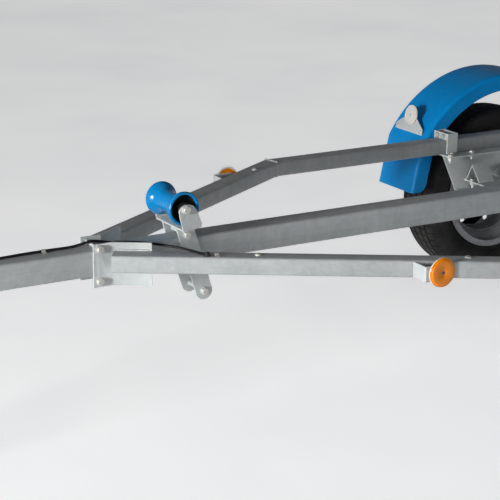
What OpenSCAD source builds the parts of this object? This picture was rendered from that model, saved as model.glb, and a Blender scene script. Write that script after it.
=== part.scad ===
// Boat trailer: keel beam, two kinked side rails, torsion axle, keel rollers, winch post, jockey wheel.
// X runs forward to the coupling, Y to the trailer's left, Z up. The origin is on the ground, at the
// middle of the trailer's length and width. "ahead" values count forward from the axle line.

/* [Overall] */
// Length over coupling nose and tail lamps
overall_length = 5640; // [5200:10:6400]
// Coupling nose to axle line
axle_setback = 3740; // [3400:10:4100]

/* [Keel beam] */
// Width of the keel beam
beam_w = 80; // [60:1:100]
// Height of the keel beam
beam_h = 75; // [60:1:100]
// Wall of the keel beam
beam_wall = 4; // [3:0.5:6]
// Underside of the keel beam above the ground
beam_bottom_z = 502; // [480:1:540]

/* [Side rails] */
// Width of a side rail
rail_w = 60; // [40:1:72]
// Height of a side rail
rail_h = 50; // [40:1:60]
// Wall of a side rail
rail_wall = 3; // [2:0.5:5]
// Side rail underside above the keel beam's underside
rail_lift = 23; // [10:1:30]
// Centre line of the parallel rail to the middle of the trailer
rail_y = 666; // [600:1:760]
// Kink of the side rail, ahead of the axle
kink_ahead = 1028; // [800:1:1300]
// Front end of the side rail, ahead of the axle
rail_front_ahead = 1989; // [1800:1:2200]
// Centre of the rail's front end to the side of the keel beam
rail_front_gap = 34; // [30:1:50]

/* [Wheels] */
// Radius of the tyre
tyre_r = 320; // [300:1:330]
// Width of the tyre
tyre_w = 190; // [165:1:205]
// Wall of the tyre
tyre_wall = 13; // [10:1:16]
// Radius of the rim's flange
rim_flange_r = 208; // [195:1:215]
// Width of the rim over its flanges
rim_w = 142; // [125:1:150]
// Sheet thickness of the rim
rim_sheet = 5; // [4:0.5:7]
// Tyre's inner side to the outer face of the side rail
tyre_gap = 28; // [20:1:60]
// Radius of the spindle
spindle_r = 17; // [14:0.5:20]

/* [Axle] */
// Side of the square axle tube
axle_side = 60; // [50:1:70]
// Axle tube centre ahead of the wheel centre
axle_ahead = 60; // [40:1:90]
// Axle tube centre above the wheel centre
axle_lift = 108; // [90:1:120]
// Thickness of the swing arm
arm_t = 20; // [16:1:24]

/* [Mudguards] */
// Outer radius of the mudguard's crown
guard_r = 442; // [425:1:460]
// Depth of the mudguard's side lip
guard_lip = 57; // [40:1:60]
// Width of the mudguard
guard_w = 218; // [210:1:240]
// Sheet thickness of the mudguard
guard_t = 4; // [3:0.5:6]
// Lower edge of the mudguard above the ground
guard_bottom_z = 372; // [340:1:420]

/* [Keel rollers] */
// Radius of the roller's end flange
roller_r = 49; // [40:1:55]
// Radius of the roller's waist
roller_waist_r = 31; // [22:1:36]
// Length of the roller
roller_len = 150; // [120:1:180]
// Radius of the roller pin
roller_pin_r = 8; // [6:0.5:10]
// Roller axis above the top of the keel beam
roller_lift = 97; // [85:1:130]
// First roller, ahead of the axle
first_roller_ahead = 1761; // [1650:1:1850]
// Second roller, ahead of the axle
second_roller_ahead = 420; // [350:1:550]
// Spacing of the rollers behind it
roller_pitch = 1080; // [900:1:1120]

/* [Side supports] */
// Front side support, behind the axle
support_behind = 420; // [360:1:520]
// Spacing of the two side supports on a rail
support_pitch = 820; // [600:1:900]
// Height of the side roller's axis above the rail
support_h = 190; // [150:1:260]
// Radius of the side roller
side_roller_r = 55; // [45:1:65]
// Width of the side roller
side_roller_w = 70; // [55:1:90]
// Tilt of the side roller
support_tilt = 18; // [0:1:25]

/* [Winch post] */
// Winch post, behind the coupling nose
post_behind_nose = 1010; // [900:1:1080]
// Height of the winch post above the keel beam
post_h = 560; // [450:1:700]
// Bow roller axis below the top of the post
bow_drop = 90; // [80:1:160]
// Bow roller axis behind the post
bow_reach = 150; // [130:1:220]
// Winch drum radius
drum_r = 24; // [18:1:28]
// Crank length
crank_len = 190; // [150:1:230]

/* [Jockey wheel] */
// Jockey wheel tube, behind the coupling nose
jockey_behind_nose = 560; // [480:1:640]
// Radius of the jockey wheel
jockey_wheel_r = 100; // [90:1:110]
// Width of the jockey wheel
jockey_wheel_w = 50; // [40:1:60]
// Outer radius of the inner leg tube
leg_r = 21; // [18:0.5:24]
// Trail of the jockey wheel
jockey_trail = 34; // [20:1:45]
// Upward travel of the jockey leg
jockey_travel = 190; // [100:5:200]

/* [Coupling] */
// Radius of the ball socket
ball_r = 25.2; // [25:0.1:26]
// Ball centre behind the nose
ball_back = 44; // [42:1:60]

/* [Lights] */
// Width of the light board
board_w = 1420; // [1200:10:1500]
// Height of the light board
board_h = 115; // [100:1:140]
// Radius of the side reflector
side_reflector_r = 42; // [30:1:45]
// Radius of the front reflector
front_reflector_r = 36; // [28:1:40]

/* [Hidden] */
$fn = 48;

// Clearances and plate thicknesses shared by several pieces
running_gap = 0.08;
side_gap = 4;
plate_t = 6;
// Main stations along X
nose_x = overall_length / 2;
tail_x = -overall_length / 2;
axle_x = nose_x - axle_setback;
ball_x = nose_x - ball_back;
post_x = nose_x - post_behind_nose;
jockey_x = nose_x - jockey_behind_nose;
// Heights
beam_top_z = beam_bottom_z + beam_h;
rail_z = beam_bottom_z + rail_lift;
rail_top_z = rail_z + rail_h;
roller_z = beam_top_z + roller_lift;
axle_z = tyre_r + axle_lift;
// Lamp depth and where the frame ends in front of the lamps
lamp_depth = 45;
board_t = 18;
frame_end_x = tail_x + lamp_depth + board_t;
// Rail outline: the kink is mitred halfway between the two directions
rail_front_y = beam_w / 2 + rail_front_gap;
front_angle = atan2(rail_y - rail_front_y, rail_front_ahead - kink_ahead);
mitre = rail_w / 2 * tan(front_angle / 2);
rail_out_y = rail_y + rail_w / 2;
rail_in_y = rail_y - rail_w / 2;
kink_x = axle_x + kink_ahead;
rail_front_x = axle_x + rail_front_ahead;
// Wheel stations along Y, on the left
tyre_in_y = rail_out_y + tyre_gap;
wheel_y = tyre_in_y + tyre_w / 2;
bead_r = rim_flange_r - 17.5;
well_r = bead_r - 24;
hub_face_y = wheel_y + 32;
arm_in_y = rail_out_y + 4;
hub_r = 58;
hub_len = 86;
// Mudguard: a crown arc about its own centre, then straight legs that lean forward
guard_z = tyre_r + 12;
guard_in_y = rail_out_y + 16;
guard_leg_deg = 29;
guard_leg_lean = 38;
guard_back = 20;
// Angled rail frame: u along it towards the kink, n across it towards the middle
rail_u = [-cos(front_angle), sin(front_angle)];
rail_n = [-sin(front_angle), -cos(front_angle)];
rail_front = [rail_front_x, rail_front_y];

function on_front_rail(along, across) = rail_front + along * rail_u + across * rail_n;

// Y of the angled rail's outer face at a station x
function rail_face_y(x) = rail_front_y + (rail_front_x - x) * tan(front_angle)
    + rail_w / 2 / cos(front_angle);

// Mirrors a left-hand piece to the right
module both() {
    children();
    mirror([0, 1, 0]) children();
}

// Cylinder along Y between two stations
module rod_y(x, z, r, y0, y1) {
    translate([x, y0, z]) rotate([-90, 0, 0]) cylinder(r = r, h = y1 - y0);
}

// Plate in the XZ plane, from y0, t thick; children draw its outline with y as height
module plate_y(y0, t) {
    translate([0, y0 + t, 0]) rotate([90, 0, 0]) linear_extrude(t) children();
}

// Bar outline with round ends between two points
module bar_outline(a, b, w) {
    d = b - a;
    translate(a) rotate(atan2(d[1], d[0])) {
        translate([0, -w / 2]) square([norm(d), w]);
        circle(d = w);
        translate([norm(d), 0]) circle(d = w);
    }
}

/* ---- Frame ---- */
module keel_beam() {
    x0 = frame_end_x + 40;
    len = nose_x - 190 - x0;
    color("silver") difference() {
        translate([x0, -beam_w / 2, beam_bottom_z]) cube([len, beam_w, beam_h]);
        translate([x0 - 1, -beam_w / 2 + beam_wall, beam_bottom_z + beam_wall])
            cube([len + 2, beam_w - 2 * beam_wall, beam_h - 2 * beam_wall]);
    }
}

// Outline of the angled rail, its sides moved in by inset and its front end out by extra
module front_rail_outline(inset, extra) {
    h = rail_w / 2 - inset;
    m = mitre * h / (rail_w / 2);
    polygon([
        [kink_x - m, rail_y - h],
        on_front_rail(-extra, h),
        on_front_rail(-extra, -h),
        [kink_x + m, rail_y + h]
    ]);
}

module rear_rail_outline(inset, extra) {
    h = rail_w / 2 - inset;
    m = mitre * h / (rail_w / 2);
    polygon([
        [frame_end_x - extra, rail_y - h],
        [kink_x - m, rail_y - h],
        [kink_x + m, rail_y + h],
        [frame_end_x - extra, rail_y + h]
    ]);
}

module front_rail() {
    color("silver") difference() {
        translate([0, 0, rail_z]) linear_extrude(rail_h) front_rail_outline(0, 0);
        translate([0, 0, rail_z + rail_wall]) linear_extrude(rail_h - 2 * rail_wall)
            front_rail_outline(rail_wall, 1);
    }
}

module rear_rail() {
    color("silver") difference() {
        translate([0, 0, rail_z]) linear_extrude(rail_h) rear_rail_outline(0, 0);
        translate([0, 0, rail_z + rail_wall]) linear_extrude(rail_h - 2 * rail_wall)
            rear_rail_outline(rail_wall, 1);
    }
}

// Bent plate: a flange on the beam's side, and a wing behind the rail's front end
clamp_flange_ahead = 57;
clamp_flange_back = 8;
clamp_wing_len = 108;
clamp_below = 31;
clamp_above = 21;
clamp_rod_r = 5;
clamp_rod_ahead = 38;

module front_clamps() {
    low_z = beam_bottom_z - clamp_below;
    high = beam_h + clamp_below + clamp_above;
    h = rail_w / 2;
    bend = (beam_w / 2 + plate_t - on_front_rail(0, h)[1]) / rail_u[1];
    a = on_front_rail(bend, h);
    rod_half = beam_w / 2 + plate_t + 10;
    color("gainsboro") {
        both() {
            translate([a[0] - clamp_flange_back, beam_w / 2, low_z])
                cube([clamp_flange_ahead + clamp_flange_back, plate_t, high]);
            difference() {
                translate([0, 0, low_z]) linear_extrude(high)
                    polygon([a, on_front_rail(clamp_wing_len, h), on_front_rail(clamp_wing_len, h + plate_t),
                        on_front_rail(bend - 8, h + plate_t)]);
                translate([a[0] - 200, -beam_w / 2, low_z - 1]) cube([400, beam_w, high + 2]);
            }
        }
        for (z = [beam_bottom_z - 13, beam_top_z + 6.5])
            rod_y(a[0] + clamp_rod_ahead, z, clamp_rod_r, -rod_half, rod_half);
    }
}

// Cross tubes between the keel beam and the rails: one at the tail, one between the axle and the tail
cross_w = 50;
cross_behind = [810, 1640];

module cross_tubes() {
    color("silver") both() for (back = cross_behind)
        translate([axle_x - back, beam_w / 2, rail_z]) difference() {
            cube([cross_w, rail_in_y - beam_w / 2, rail_h]);
            translate([rail_wall, -1, rail_wall])
                cube([cross_w - 2 * rail_wall, rail_in_y - beam_w / 2 + 2, rail_h - 2 * rail_wall]);
        }
}

/* ---- Axle and suspension ---- */
axle_tube_x = axle_x + axle_ahead;
axle_half_y = arm_in_y;

// Square outline on its corner, at the axle tube's centre
module axle_diamond(side) {
    translate([axle_tube_x, axle_z]) rotate(45) square(side, center = true);
}

module axle_tube() {
    color("silver") difference() {
        plate_y(-axle_half_y, 2 * axle_half_y) axle_diamond(axle_side);
        plate_y(-axle_half_y - 1, 2 * axle_half_y + 2) axle_diamond(axle_side - 10);
    }
}

// Trapezoid hanger under the rail: flanges, and a shelf with a roof-shaped saddle ahead of the tube
hanger_top = 270;
hanger_low = 207;
hanger_drop = 140;
hanger_flange_in = 49;
shelf_drop = 107;
shelf_back = 60;
shelf_front = 168;
shelf_w = 136;
saddle_back = 95;
saddle_len = 66;
saddle_h = 60;

module axle_plates() {
    z0 = rail_z - hanger_drop;
    shelf_z = rail_z - shelf_drop;
    color("gainsboro") both() {
        difference() {
            union() {
                plate_y(rail_in_y, plate_t) polygon([
                    [axle_tube_x - hanger_top, rail_z], [axle_tube_x + hanger_top, rail_z],
                    [axle_tube_x + hanger_low, z0], [axle_tube_x - hanger_low, z0]
                ]);
                translate([axle_tube_x - hanger_top, rail_in_y - hanger_flange_in, rail_z - plate_t])
                    cube([2 * hanger_top, rail_w + hanger_flange_in, plate_t]);
                translate([axle_tube_x - hanger_low, rail_in_y - 26, z0])
                    cube([2 * hanger_low, 26, plate_t]);
            }
            plate_y(rail_in_y - 40, 120) axle_diamond(axle_side);
        }
        translate([axle_tube_x + shelf_back, rail_in_y - shelf_w, shelf_z])
            cube([shelf_front - shelf_back, shelf_w + plate_t, plate_t]);
        // saddle: two slopes that meet in a ridge along X
        translate([axle_tube_x + saddle_back, rail_in_y, shelf_z + plate_t]) rotate([90, 0, 90])
            linear_extrude(saddle_len)
                polygon([[0, 0], [-33, saddle_h], [-81, 0], [-74.6, 0], [-33.8, saddle_h - 9], [-5.7, 0]]);
    }
}

module axle_centre_bracket() {
    low_z = axle_z - axle_side * 0.9;
    color("silver") difference() {
        union() {
            both() plate_y(beam_w / 2, plate_t) polygon([
                [axle_tube_x - 95, beam_top_z - 12], [axle_tube_x + 95, beam_top_z - 12],
                [axle_tube_x + 70, low_z], [axle_tube_x - 70, low_z]
            ]);
            translate([axle_tube_x - 88, -beam_w / 2 - plate_t, beam_bottom_z - plate_t])
                cube([176, beam_w + 2 * plate_t, plate_t]);
        }
        plate_y(-80, 160) axle_diamond(axle_side);
    }
}

// Trailing arm from the axle tube's end down to the spindle
module swing_arms() {
    color("dimgray") both() {
        plate_y(arm_in_y, arm_t) bar_outline([axle_tube_x, axle_z], [axle_x, tyre_r], 88);
        rod_y(axle_x, tyre_r, spindle_r, arm_in_y + arm_t, hub_face_y + 4);
    }
}

/* ---- Wheels ---- */
// Hub: barrel with a flange for the wheel, bored for the spindle, closed by a grease cap
module hub() {
    y0 = hub_face_y - hub_len;
    color("dimgray") difference() {
        union() {
            rod_y(axle_x, tyre_r, hub_r, y0, hub_face_y - 14);
            rod_y(axle_x, tyre_r, 76, hub_face_y - 14, hub_face_y);
            rod_y(axle_x, tyre_r, 32, hub_face_y, hub_face_y + 34);
        }
        rod_y(axle_x, tyre_r, spindle_r + running_gap, y0 - 1, hub_face_y + 5);
    }
}

// Rim section turned about the wheel's axis: flanges, bead seats, well and disc with its vent holes
vent_count = 16;
vent_r = 11;
vent_pitch_r = 141;

module rim() {
    hw = rim_w / 2;
    s = rim_sheet;
    // radius, offset outboard from the wheel's middle plane
    section = [
        [rim_flange_r, -hw], [rim_flange_r, -hw + s], [bead_r, -hw + s + 3], [bead_r, -hw + 34],
        [well_r, -hw + 48], [well_r, hw - 66], [bead_r, hw - 40], [bead_r, hw - s - 3],
        [rim_flange_r, hw - s], [rim_flange_r, hw], [bead_r - s, hw], [bead_r - s, hw - 42],
        [well_r - s, hw - 68], [well_r - s, -hw + 46], [bead_r - s, -hw + 32], [bead_r - s, -hw]
    ];
    dish = hub_face_y - wheel_y;
    seat_r = well_r - s;
    disc = [
        [33, dish], [33, dish + s], [84, dish + s], [118, dish + s + 14], [155, dish + s + 14],
        [seat_r + 0.5, dish + 8], [seat_r + 0.5, -16], [seat_r - s, -16],
        [seat_r - s, dish + 4], [153, dish + 13], [121, dish + 13], [84, dish]
    ];
    color("gray") difference() {
        translate([axle_x, wheel_y, tyre_r]) rotate([-90, 0, 0]) rotate_extrude() {
            polygon(section);
            polygon(disc);
        }
        for (i = [0:vent_count - 1])
            translate([axle_x, wheel_y, tyre_r]) rotate([0, i * 360 / vent_count, 0])
                rod_y(vent_pitch_r, 0, vent_r, dish - 10, dish + 60);
        for (i = [0:4])
            translate([axle_x, wheel_y, tyre_r]) rotate([0, i * 72, 0])
                rod_y(56, 0, 7, dish - 10, dish + 30);
    }
}

module tyre() {
    hw = tyre_w / 2;
    bw = rim_w / 2 - rim_sheet - 3.5;
    c = 22;
    t = tyre_wall;
    outer = [
        [bead_r + 0.3, -bw], [rim_flange_r + 6, -bw - 4], [rim_flange_r + 40, -hw], [tyre_r - 48, -hw],
        [tyre_r - 12, -hw + c], [tyre_r, -hw + c + 14], [tyre_r, hw - c - 14], [tyre_r - 12, hw - c],
        [tyre_r - 48, hw], [rim_flange_r + 40, hw], [rim_flange_r + 6, bw + 4], [bead_r + 0.3, bw]
    ];
    inner = [
        [bead_r + 0.3, bw - 18], [rim_flange_r + 10, bw - t + 4], [rim_flange_r + 42, hw - t],
        [tyre_r - 50, hw - t], [tyre_r - t - 6, hw - c - t], [tyre_r - t - 6, -hw + c + t],
        [tyre_r - 50, -hw + t], [rim_flange_r + 42, -hw + t], [rim_flange_r + 10, -bw + t - 4],
        [bead_r + 0.3, -bw + 18]
    ];
    color([0.09, 0.09, 0.1]) translate([axle_x, wheel_y, tyre_r]) rotate([-90, 0, 0]) rotate_extrude()
        polygon(concat(outer, inner));
}

/* ---- Mudguards ---- */
// Side view of the guard, its edge moved in by inset; centre at the guard's own centre
module guard_outline(inset) {
    r = guard_r - inset;
    low = guard_bottom_z - guard_z;
    top = guard_r * sin(guard_leg_deg);
    intersection() {
        circle(r = r, $fn = 96);
        translate([-2 * r, top]) square([4 * r, 2 * r]);
    }
    leg = guard_r * cos(guard_leg_deg);
    polygon([
        [-leg + inset, top + 1], [-leg - guard_leg_lean + inset, low], [leg + guard_leg_lean - inset, low],
        [leg - inset, top + 1]
    ]);
}

module guard_wall(y0, t, depth) {
    translate([axle_x - guard_back, 0, guard_z]) plate_y(y0, t) difference() {
        guard_outline(0);
        guard_outline(depth);
        translate([-1000, -1000]) square([2000, 1000 + guard_bottom_z - guard_z]);
    }
}

module mudguard() {
    color("#0b6fb3") {
        guard_wall(guard_in_y, guard_w, guard_t);
        guard_wall(guard_in_y, guard_t, guard_lip);
        guard_wall(guard_in_y + guard_w - guard_t, guard_t, guard_lip * 0.6);
    }
}

// Folded clip over the rail: inner and outer plate, joined by two webs above the rail
clip_len = 45;
clip_ahead = 270;
clip_over = 24;
clip_under = 20;

module guard_clip(x0) {
    translate([x0, rail_in_y - plate_t, rail_z]) cube([clip_len, plate_t, rail_h + clip_over]);
    translate([x0, guard_in_y - plate_t, rail_z - clip_under])
        cube([clip_len, plate_t, rail_h + clip_under + clip_over]);
    for (x = [x0, x0 + clip_len - plate_t])
        translate([x, rail_in_y - plate_t, rail_top_z])
            cube([plate_t, guard_in_y - rail_in_y + plate_t, clip_over]);
}

module mudguard_brackets() {
    color("gainsboro") both() {
        guard_clip(axle_x + clip_ahead);
        guard_clip(axle_x - clip_ahead - 2 * guard_back - clip_len);
    }
}

/* ---- Keel rollers ---- */
// Spool: flanges at the ends, a round waist, bored for its pin
module spool(x, z, len, r, waist_r, bore_r) {
    h = len / 2;
    translate([x, 0, z]) rotate([-90, 0, 0]) rotate_extrude() polygon([
        [bore_r, -h], [r - 5, -h], [r, -h + 5], [r, -h + 12], [waist_r + 6, -h + 30], [waist_r, -h + 46],
        [waist_r, h - 46], [waist_r + 6, h - 30], [r, h - 12], [r, h - 5], [r - 5, h], [bore_r, h]
    ]);
}

function keel_roller_x(i) = axle_x + (i == 1 ? first_roller_ahead
    : second_roller_ahead - (i - 2) * roller_pitch);

module keel_roller(i) {
    color("#0a74bd") spool(keel_roller_x(i), roller_z, roller_len, roller_r, roller_waist_r,
        roller_pin_r + running_gap);
}

ear_in_y = roller_len / 2 + side_gap;
ear_t = 5;
ear_r = 25;

// U-shaped cradle with the roller's pin across its ears; base_z is the underside of its base
module cradle(x, base_z) {
    translate([x - 31, -ear_in_y - ear_t, base_z]) cube([62, 2 * (ear_in_y + ear_t), ear_t]);
    both() plate_y(ear_in_y, ear_t) {
        translate([x, roller_z]) circle(r = ear_r);
        polygon([[x - 31, base_z], [x + 31, base_z], [x + ear_r, roller_z], [x - ear_r, roller_z]]);
    }
    rod_y(x, roller_z, roller_pin_r, -ear_in_y - ear_t - 8, ear_in_y + ear_t + 8);
}

// The first cradle leans: its ears join a tilted base, held by two bars that grip the keel beam's sides.
// Points are ahead of the roller's pin, and above it.
bar_w = 54;
bar_top = [-24, -86];
bar_low = [-80, -263];
base_front = [8, -68];
base_back = [-50, -58];
front_ear = [
    base_front, base_back, [-52, -46], [-42, -21], [-35, -5], [-25, 8], [-12, 13], [3, 13], [15, 7],
    [22, -3], [18, -27], [12, -50]
];

module front_roller_cradle() {
    x = keel_roller_x(1);
    half = ear_in_y + ear_t;
    base_len = norm(base_back - base_front);
    tilt = atan2(base_back[1] - base_front[1], base_front[0] - base_back[0]);
    d = bar_top - bar_low;
    color("gainsboro") translate([x, 0, roller_z]) {
        both() {
            plate_y(ear_in_y, ear_t) polygon(front_ear);
            plate_y(beam_w / 2, plate_t) difference() {
                translate(bar_low) rotate(atan2(d[1], d[0])) {
                    translate([0, -bar_w / 2]) square([norm(d) + bar_w, bar_w]);
                    circle(d = bar_w);
                }
                translate(base_front) rotate(-tilt) translate([-200, 3]) square([400, 200]);
            }
        }
        plate_y(-ear_in_y - 2, 2 * ear_in_y + 4) translate(base_front) rotate(-tilt)
            translate([2 - base_len, 0.6]) square([base_len - 4, ear_t]);
        rod_y(0, 0, roller_pin_r, -half - 8, half + 8);
        for (p = [bar_top, bar_low])
            rod_y(p[0], p[1], 7, -beam_w / 2 - plate_t - 10, beam_w / 2 + plate_t + 10);
    }
}

module keel_roller_cradles() {
    color("gainsboro") for (i = [2:4]) {
        cradle(keel_roller_x(i), beam_top_z);
        // clamp bar under the beam and its two studs on each side
        translate([keel_roller_x(i) - 31, -ear_in_y, beam_bottom_z - ear_t])
            cube([62, 2 * ear_in_y, ear_t]);
        for (dx = [-20, 20], s = [-1, 1])
            translate([keel_roller_x(i) + dx, s * (beam_w / 2 + 8), beam_bottom_z - 20])
                cylinder(r = 5, h = beam_h + 30);
    }
}

/* ---- Side supports ---- */
post_side = 40;

function support_x(k) = axle_x - support_behind - k * support_pitch;

// Places children in the side roller's own frame: Y along its axis, tilted with the hull
module at_side_roller(k) {
    translate([support_x(k), rail_y, rail_top_z + support_h]) rotate([support_tilt, 0, 0]) children();
}

module side_supports() {
    hw = side_roller_w / 2 + side_gap;
    color("silver") both() for (k = [0, 1]) {
        translate([support_x(k) - 60, rail_y - rail_w / 2, rail_top_z]) cube([120, rail_w, plate_t]);
        translate([support_x(k) - post_side / 2, rail_y - post_side / 2, rail_top_z])
            cube([post_side, post_side, support_h - side_roller_r - 30]);
        at_side_roller(k) {
            translate([-25, -hw - ear_t, -side_roller_r - 20]) cube([50, 2 * (hw + ear_t), 8]);
            translate([-18, -18, -side_roller_r - 45]) cube([36, 36, 28]);
            both() plate_y(hw, ear_t) {
                circle(r = 25);
                translate([-25, -side_roller_r - 20]) square([50, side_roller_r + 20]);
            }
            rod_y(0, 0, roller_pin_r, -hw - ear_t - 6, hw + ear_t + 6);
        }
    }
}

module side_roller(k, side) {
    h = side_roller_w / 2;
    r = side_roller_r;
    color("#0a74bd") mirror([0, side < 0 ? 1 : 0, 0]) at_side_roller(k) rotate([-90, 0, 0])
        rotate_extrude() polygon([
            [roller_pin_r + running_gap, -h], [r - 14, -h], [r, -h + 12], [r, h - 12], [r - 14, h],
            [roller_pin_r + running_gap, h]
        ]);
}

/* ---- Winch post ---- */
post_d = 60;
post_top_z = beam_top_z + post_h;
bow_x = post_x - post_d / 2 - bow_reach;
bow_z = post_top_z - bow_drop;
bow_len = 110;
bow_r = 45;
winch_base_t = 6;
winch_y = 48;
drum_z = post_top_z + winch_base_t + 66;
pinion_dx = 52;
pinion_dz = 30;
gear_r = 46;
pinion_r = 12;
shaft_r = 8;

module winch_post() {
    color("silver") {
        difference() {
            translate([post_x - post_d / 2, -beam_w / 2, beam_top_z]) cube([post_d, beam_w, post_h]);
            translate([post_x - post_d / 2 + 4, -beam_w / 2 + 4, beam_top_z + 4])
                cube([post_d - 8, beam_w - 8, post_h - 8]);
        }
        both() plate_y(beam_w / 2, plate_t) polygon([
            [post_x - 70, beam_bottom_z - 18], [post_x + 70, beam_bottom_z - 18], [post_x + 70, beam_top_z],
            [post_x + 30, beam_top_z + 90], [post_x - 30, beam_top_z + 90], [post_x - 70, beam_top_z]
        ]);
        // twin arms that carry the bow roller
        both() plate_y(bow_len / 2 + side_gap, ear_t)
            bar_outline([post_x, bow_z - 30], [bow_x, bow_z], 44);
        translate([post_x - 22, -bow_len / 2 - side_gap - 1, bow_z - 52]) difference() {
            cube([44, bow_len + 2 * side_gap + 2, 44]);
            translate([-20, bow_len / 2 + side_gap + 1 - beam_w / 2, -1]) cube([90, beam_w, 46]);
        }
        rod_y(bow_x, bow_z, roller_pin_r, -bow_len / 2 - 20, bow_len / 2 + 20);
    }
}

module bow_roller() {
    h = bow_len / 2;
    color("#0a74bd") translate([bow_x, 0, bow_z]) rotate([-90, 0, 0]) rotate_extrude() polygon([
        [roller_pin_r + running_gap, -h], [bow_r, -h], [bow_r, -h + 14], [24, -8], [24, 8],
        [bow_r, h - 14], [bow_r, h], [roller_pin_r + running_gap, h]
    ]);
}

module winch_frame() {
    color("silver") difference() {
        union() {
            translate([post_x - 85, -winch_y - 5, post_top_z]) cube([150, 2 * winch_y + 10, winch_base_t]);
            both() plate_y(winch_y, 5) {
                translate([post_x, drum_z]) circle(r = 30);
                translate([post_x - pinion_dx, drum_z + pinion_dz]) circle(r = 20);
                polygon([
                    [post_x - 85, post_top_z], [post_x + 65, post_top_z], [post_x + 30, drum_z],
                    [post_x, drum_z + 30], [post_x - pinion_dx, drum_z + pinion_dz + 20],
                    [post_x - pinion_dx - 20, drum_z + pinion_dz]
                ]);
            }
        }
        rod_y(post_x, drum_z, shaft_r + running_gap, -90, 90);
        rod_y(post_x - pinion_dx, drum_z + pinion_dz, shaft_r + running_gap, -90, 90);
    }
}

module winch_drum() {
    color("gray") {
        rod_y(post_x, drum_z, shaft_r, -winch_y - 9, winch_y + 9);
        rod_y(post_x, drum_z, drum_r, -winch_y + 3, winch_y - 3);
        rod_y(post_x, drum_z, gear_r, winch_y - 11, winch_y - 3);
        rod_y(post_x, drum_z, gear_r, -winch_y + 3, -winch_y + 7);
    }
}

module winch_crank() {
    px = post_x - pinion_dx;
    pz = drum_z + pinion_dz;
    arm_y = winch_y + 22;
    color("dimgray") {
        rod_y(px, pz, shaft_r, -winch_y - 9, arm_y + 8);
        rod_y(px, pz, pinion_r, winch_y - 13, winch_y - 2);
        plate_y(arm_y, 8) bar_outline([px, pz], [px - crank_len * 0.5, pz + crank_len * 0.87], 28);
    }
    color([0.1, 0.1, 0.11])
        rod_y(px - crank_len * 0.5, pz + crank_len * 0.87, 15, arm_y + 8, arm_y + 108);
}

/* ---- Coupling ---- */
head_back = 250;
head_half = beam_w / 2 + 5;
handle_x = nose_x - 108;
handle_z = beam_top_z + 22;
handle_half = 17;

module coupling_head() {
    color("gainsboro") difference() {
        intersection() {
            translate([0, 0, beam_bottom_z - 6]) linear_extrude(beam_h + 60) union() {
                translate([ball_x, 0]) circle(r = ball_back);
                polygon([
                    [nose_x - head_back, -head_half], [nose_x - 120, -head_half], [ball_x, -ball_back],
                    [ball_x, ball_back], [nose_x - 120, head_half], [nose_x - head_back, head_half]
                ]);
            }
            plate_y(-100, 200) polygon([
                [nose_x - head_back, beam_bottom_z - 6], [nose_x - 100, beam_bottom_z - 6],
                [nose_x - 92, beam_bottom_z + 4], [nose_x + 5, beam_bottom_z + 4],
                [nose_x + 5, beam_top_z - 22], [nose_x - 30, beam_top_z - 2],
                [nose_x - 80, beam_top_z + 6], [nose_x - head_back, beam_top_z + 6]
            ]);
        }
        // room for the beam's end
        translate([nose_x - head_back - 1, -beam_w / 2, beam_bottom_z]) cube([head_back - 189, beam_w, beam_h]);
        // ball socket, open below
        translate([ball_x, 0, beam_bottom_z]) cylinder(r = ball_r, h = 32);
        translate([ball_x, 0, beam_bottom_z + 32]) sphere(r = ball_r);
    }
    // ears and pin for the handle
    color("gainsboro") {
        both() plate_y(handle_half + 1.5, 5) polygon([
            [handle_x - 26, beam_top_z + 4], [handle_x + 26, beam_top_z + 2],
            [handle_x + 10, handle_z + 12], [handle_x - 10, handle_z + 12]
        ]);
        rod_y(handle_x, handle_z, 6, -handle_half - 9, handle_half + 9);
    }
}

module coupling_handle() {
    x = handle_x;
    color("gainsboro") difference() {
        plate_y(-handle_half, 2 * handle_half) {
            translate([x, handle_z]) circle(r = 12);
            polygon([
                [x - 2, handle_z - 12], [x - 2, handle_z + 12], [x - 60, handle_z + 26],
                [x - 170, handle_z + 34], [x - 172, handle_z + 18], [x - 60, handle_z + 4]
            ]);
        }
        rod_y(x, handle_z, 6 + running_gap, -handle_half - 1, handle_half + 1);
    }
}

/* ---- Jockey wheel ---- */
outer_r = leg_r + running_gap + 3.2;
jockey_y = beam_w / 2 + 14 + outer_r;
outer_low_z = beam_bottom_z - 60;
outer_top_z = beam_top_z + 300;
leg_foot_z = 2 * jockey_wheel_r + 24;
leg_top_z = outer_top_z - 40 - jockey_travel;
fork_half = jockey_wheel_w / 2 + side_gap;
kingpin_r = 10;

module jockey_clamp() {
    color("silver") difference() {
        union() {
            translate([jockey_x, jockey_y, outer_low_z])
                cylinder(r = outer_r, h = outer_top_z - outer_low_z);
            translate([jockey_x, jockey_y, beam_bottom_z + 6]) cylinder(r = outer_r + 7, h = beam_h - 12);
            translate([jockey_x - 48, beam_w / 2, beam_bottom_z + 6]) cube([96, 14, beam_h - 12]);
            translate([jockey_x + 20, jockey_y - 9, beam_bottom_z + 12]) cube([38, 18, beam_h - 24]);
        }
        translate([jockey_x, jockey_y, outer_low_z - 1])
            cylinder(r = leg_r + running_gap, h = outer_top_z - outer_low_z - 15);
        translate([jockey_x, jockey_y, outer_top_z - 20]) cylinder(r = 8 + running_gap, h = 30);
    }
}

module jockey_leg() {
    color("gainsboro") translate([jockey_x, jockey_y, 0]) difference() {
        union() {
            translate([0, 0, leg_foot_z]) cylinder(r = leg_r, h = leg_top_z - leg_foot_z);
            translate([0, 0, leg_foot_z]) cylinder(r = leg_r + 5, h = 10);
        }
        translate([0, 0, leg_foot_z + 60]) cylinder(r = leg_r - 3, h = leg_top_z);
        translate([0, 0, leg_foot_z - 1]) cylinder(r = kingpin_r + running_gap, h = 36);
    }
}

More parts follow.
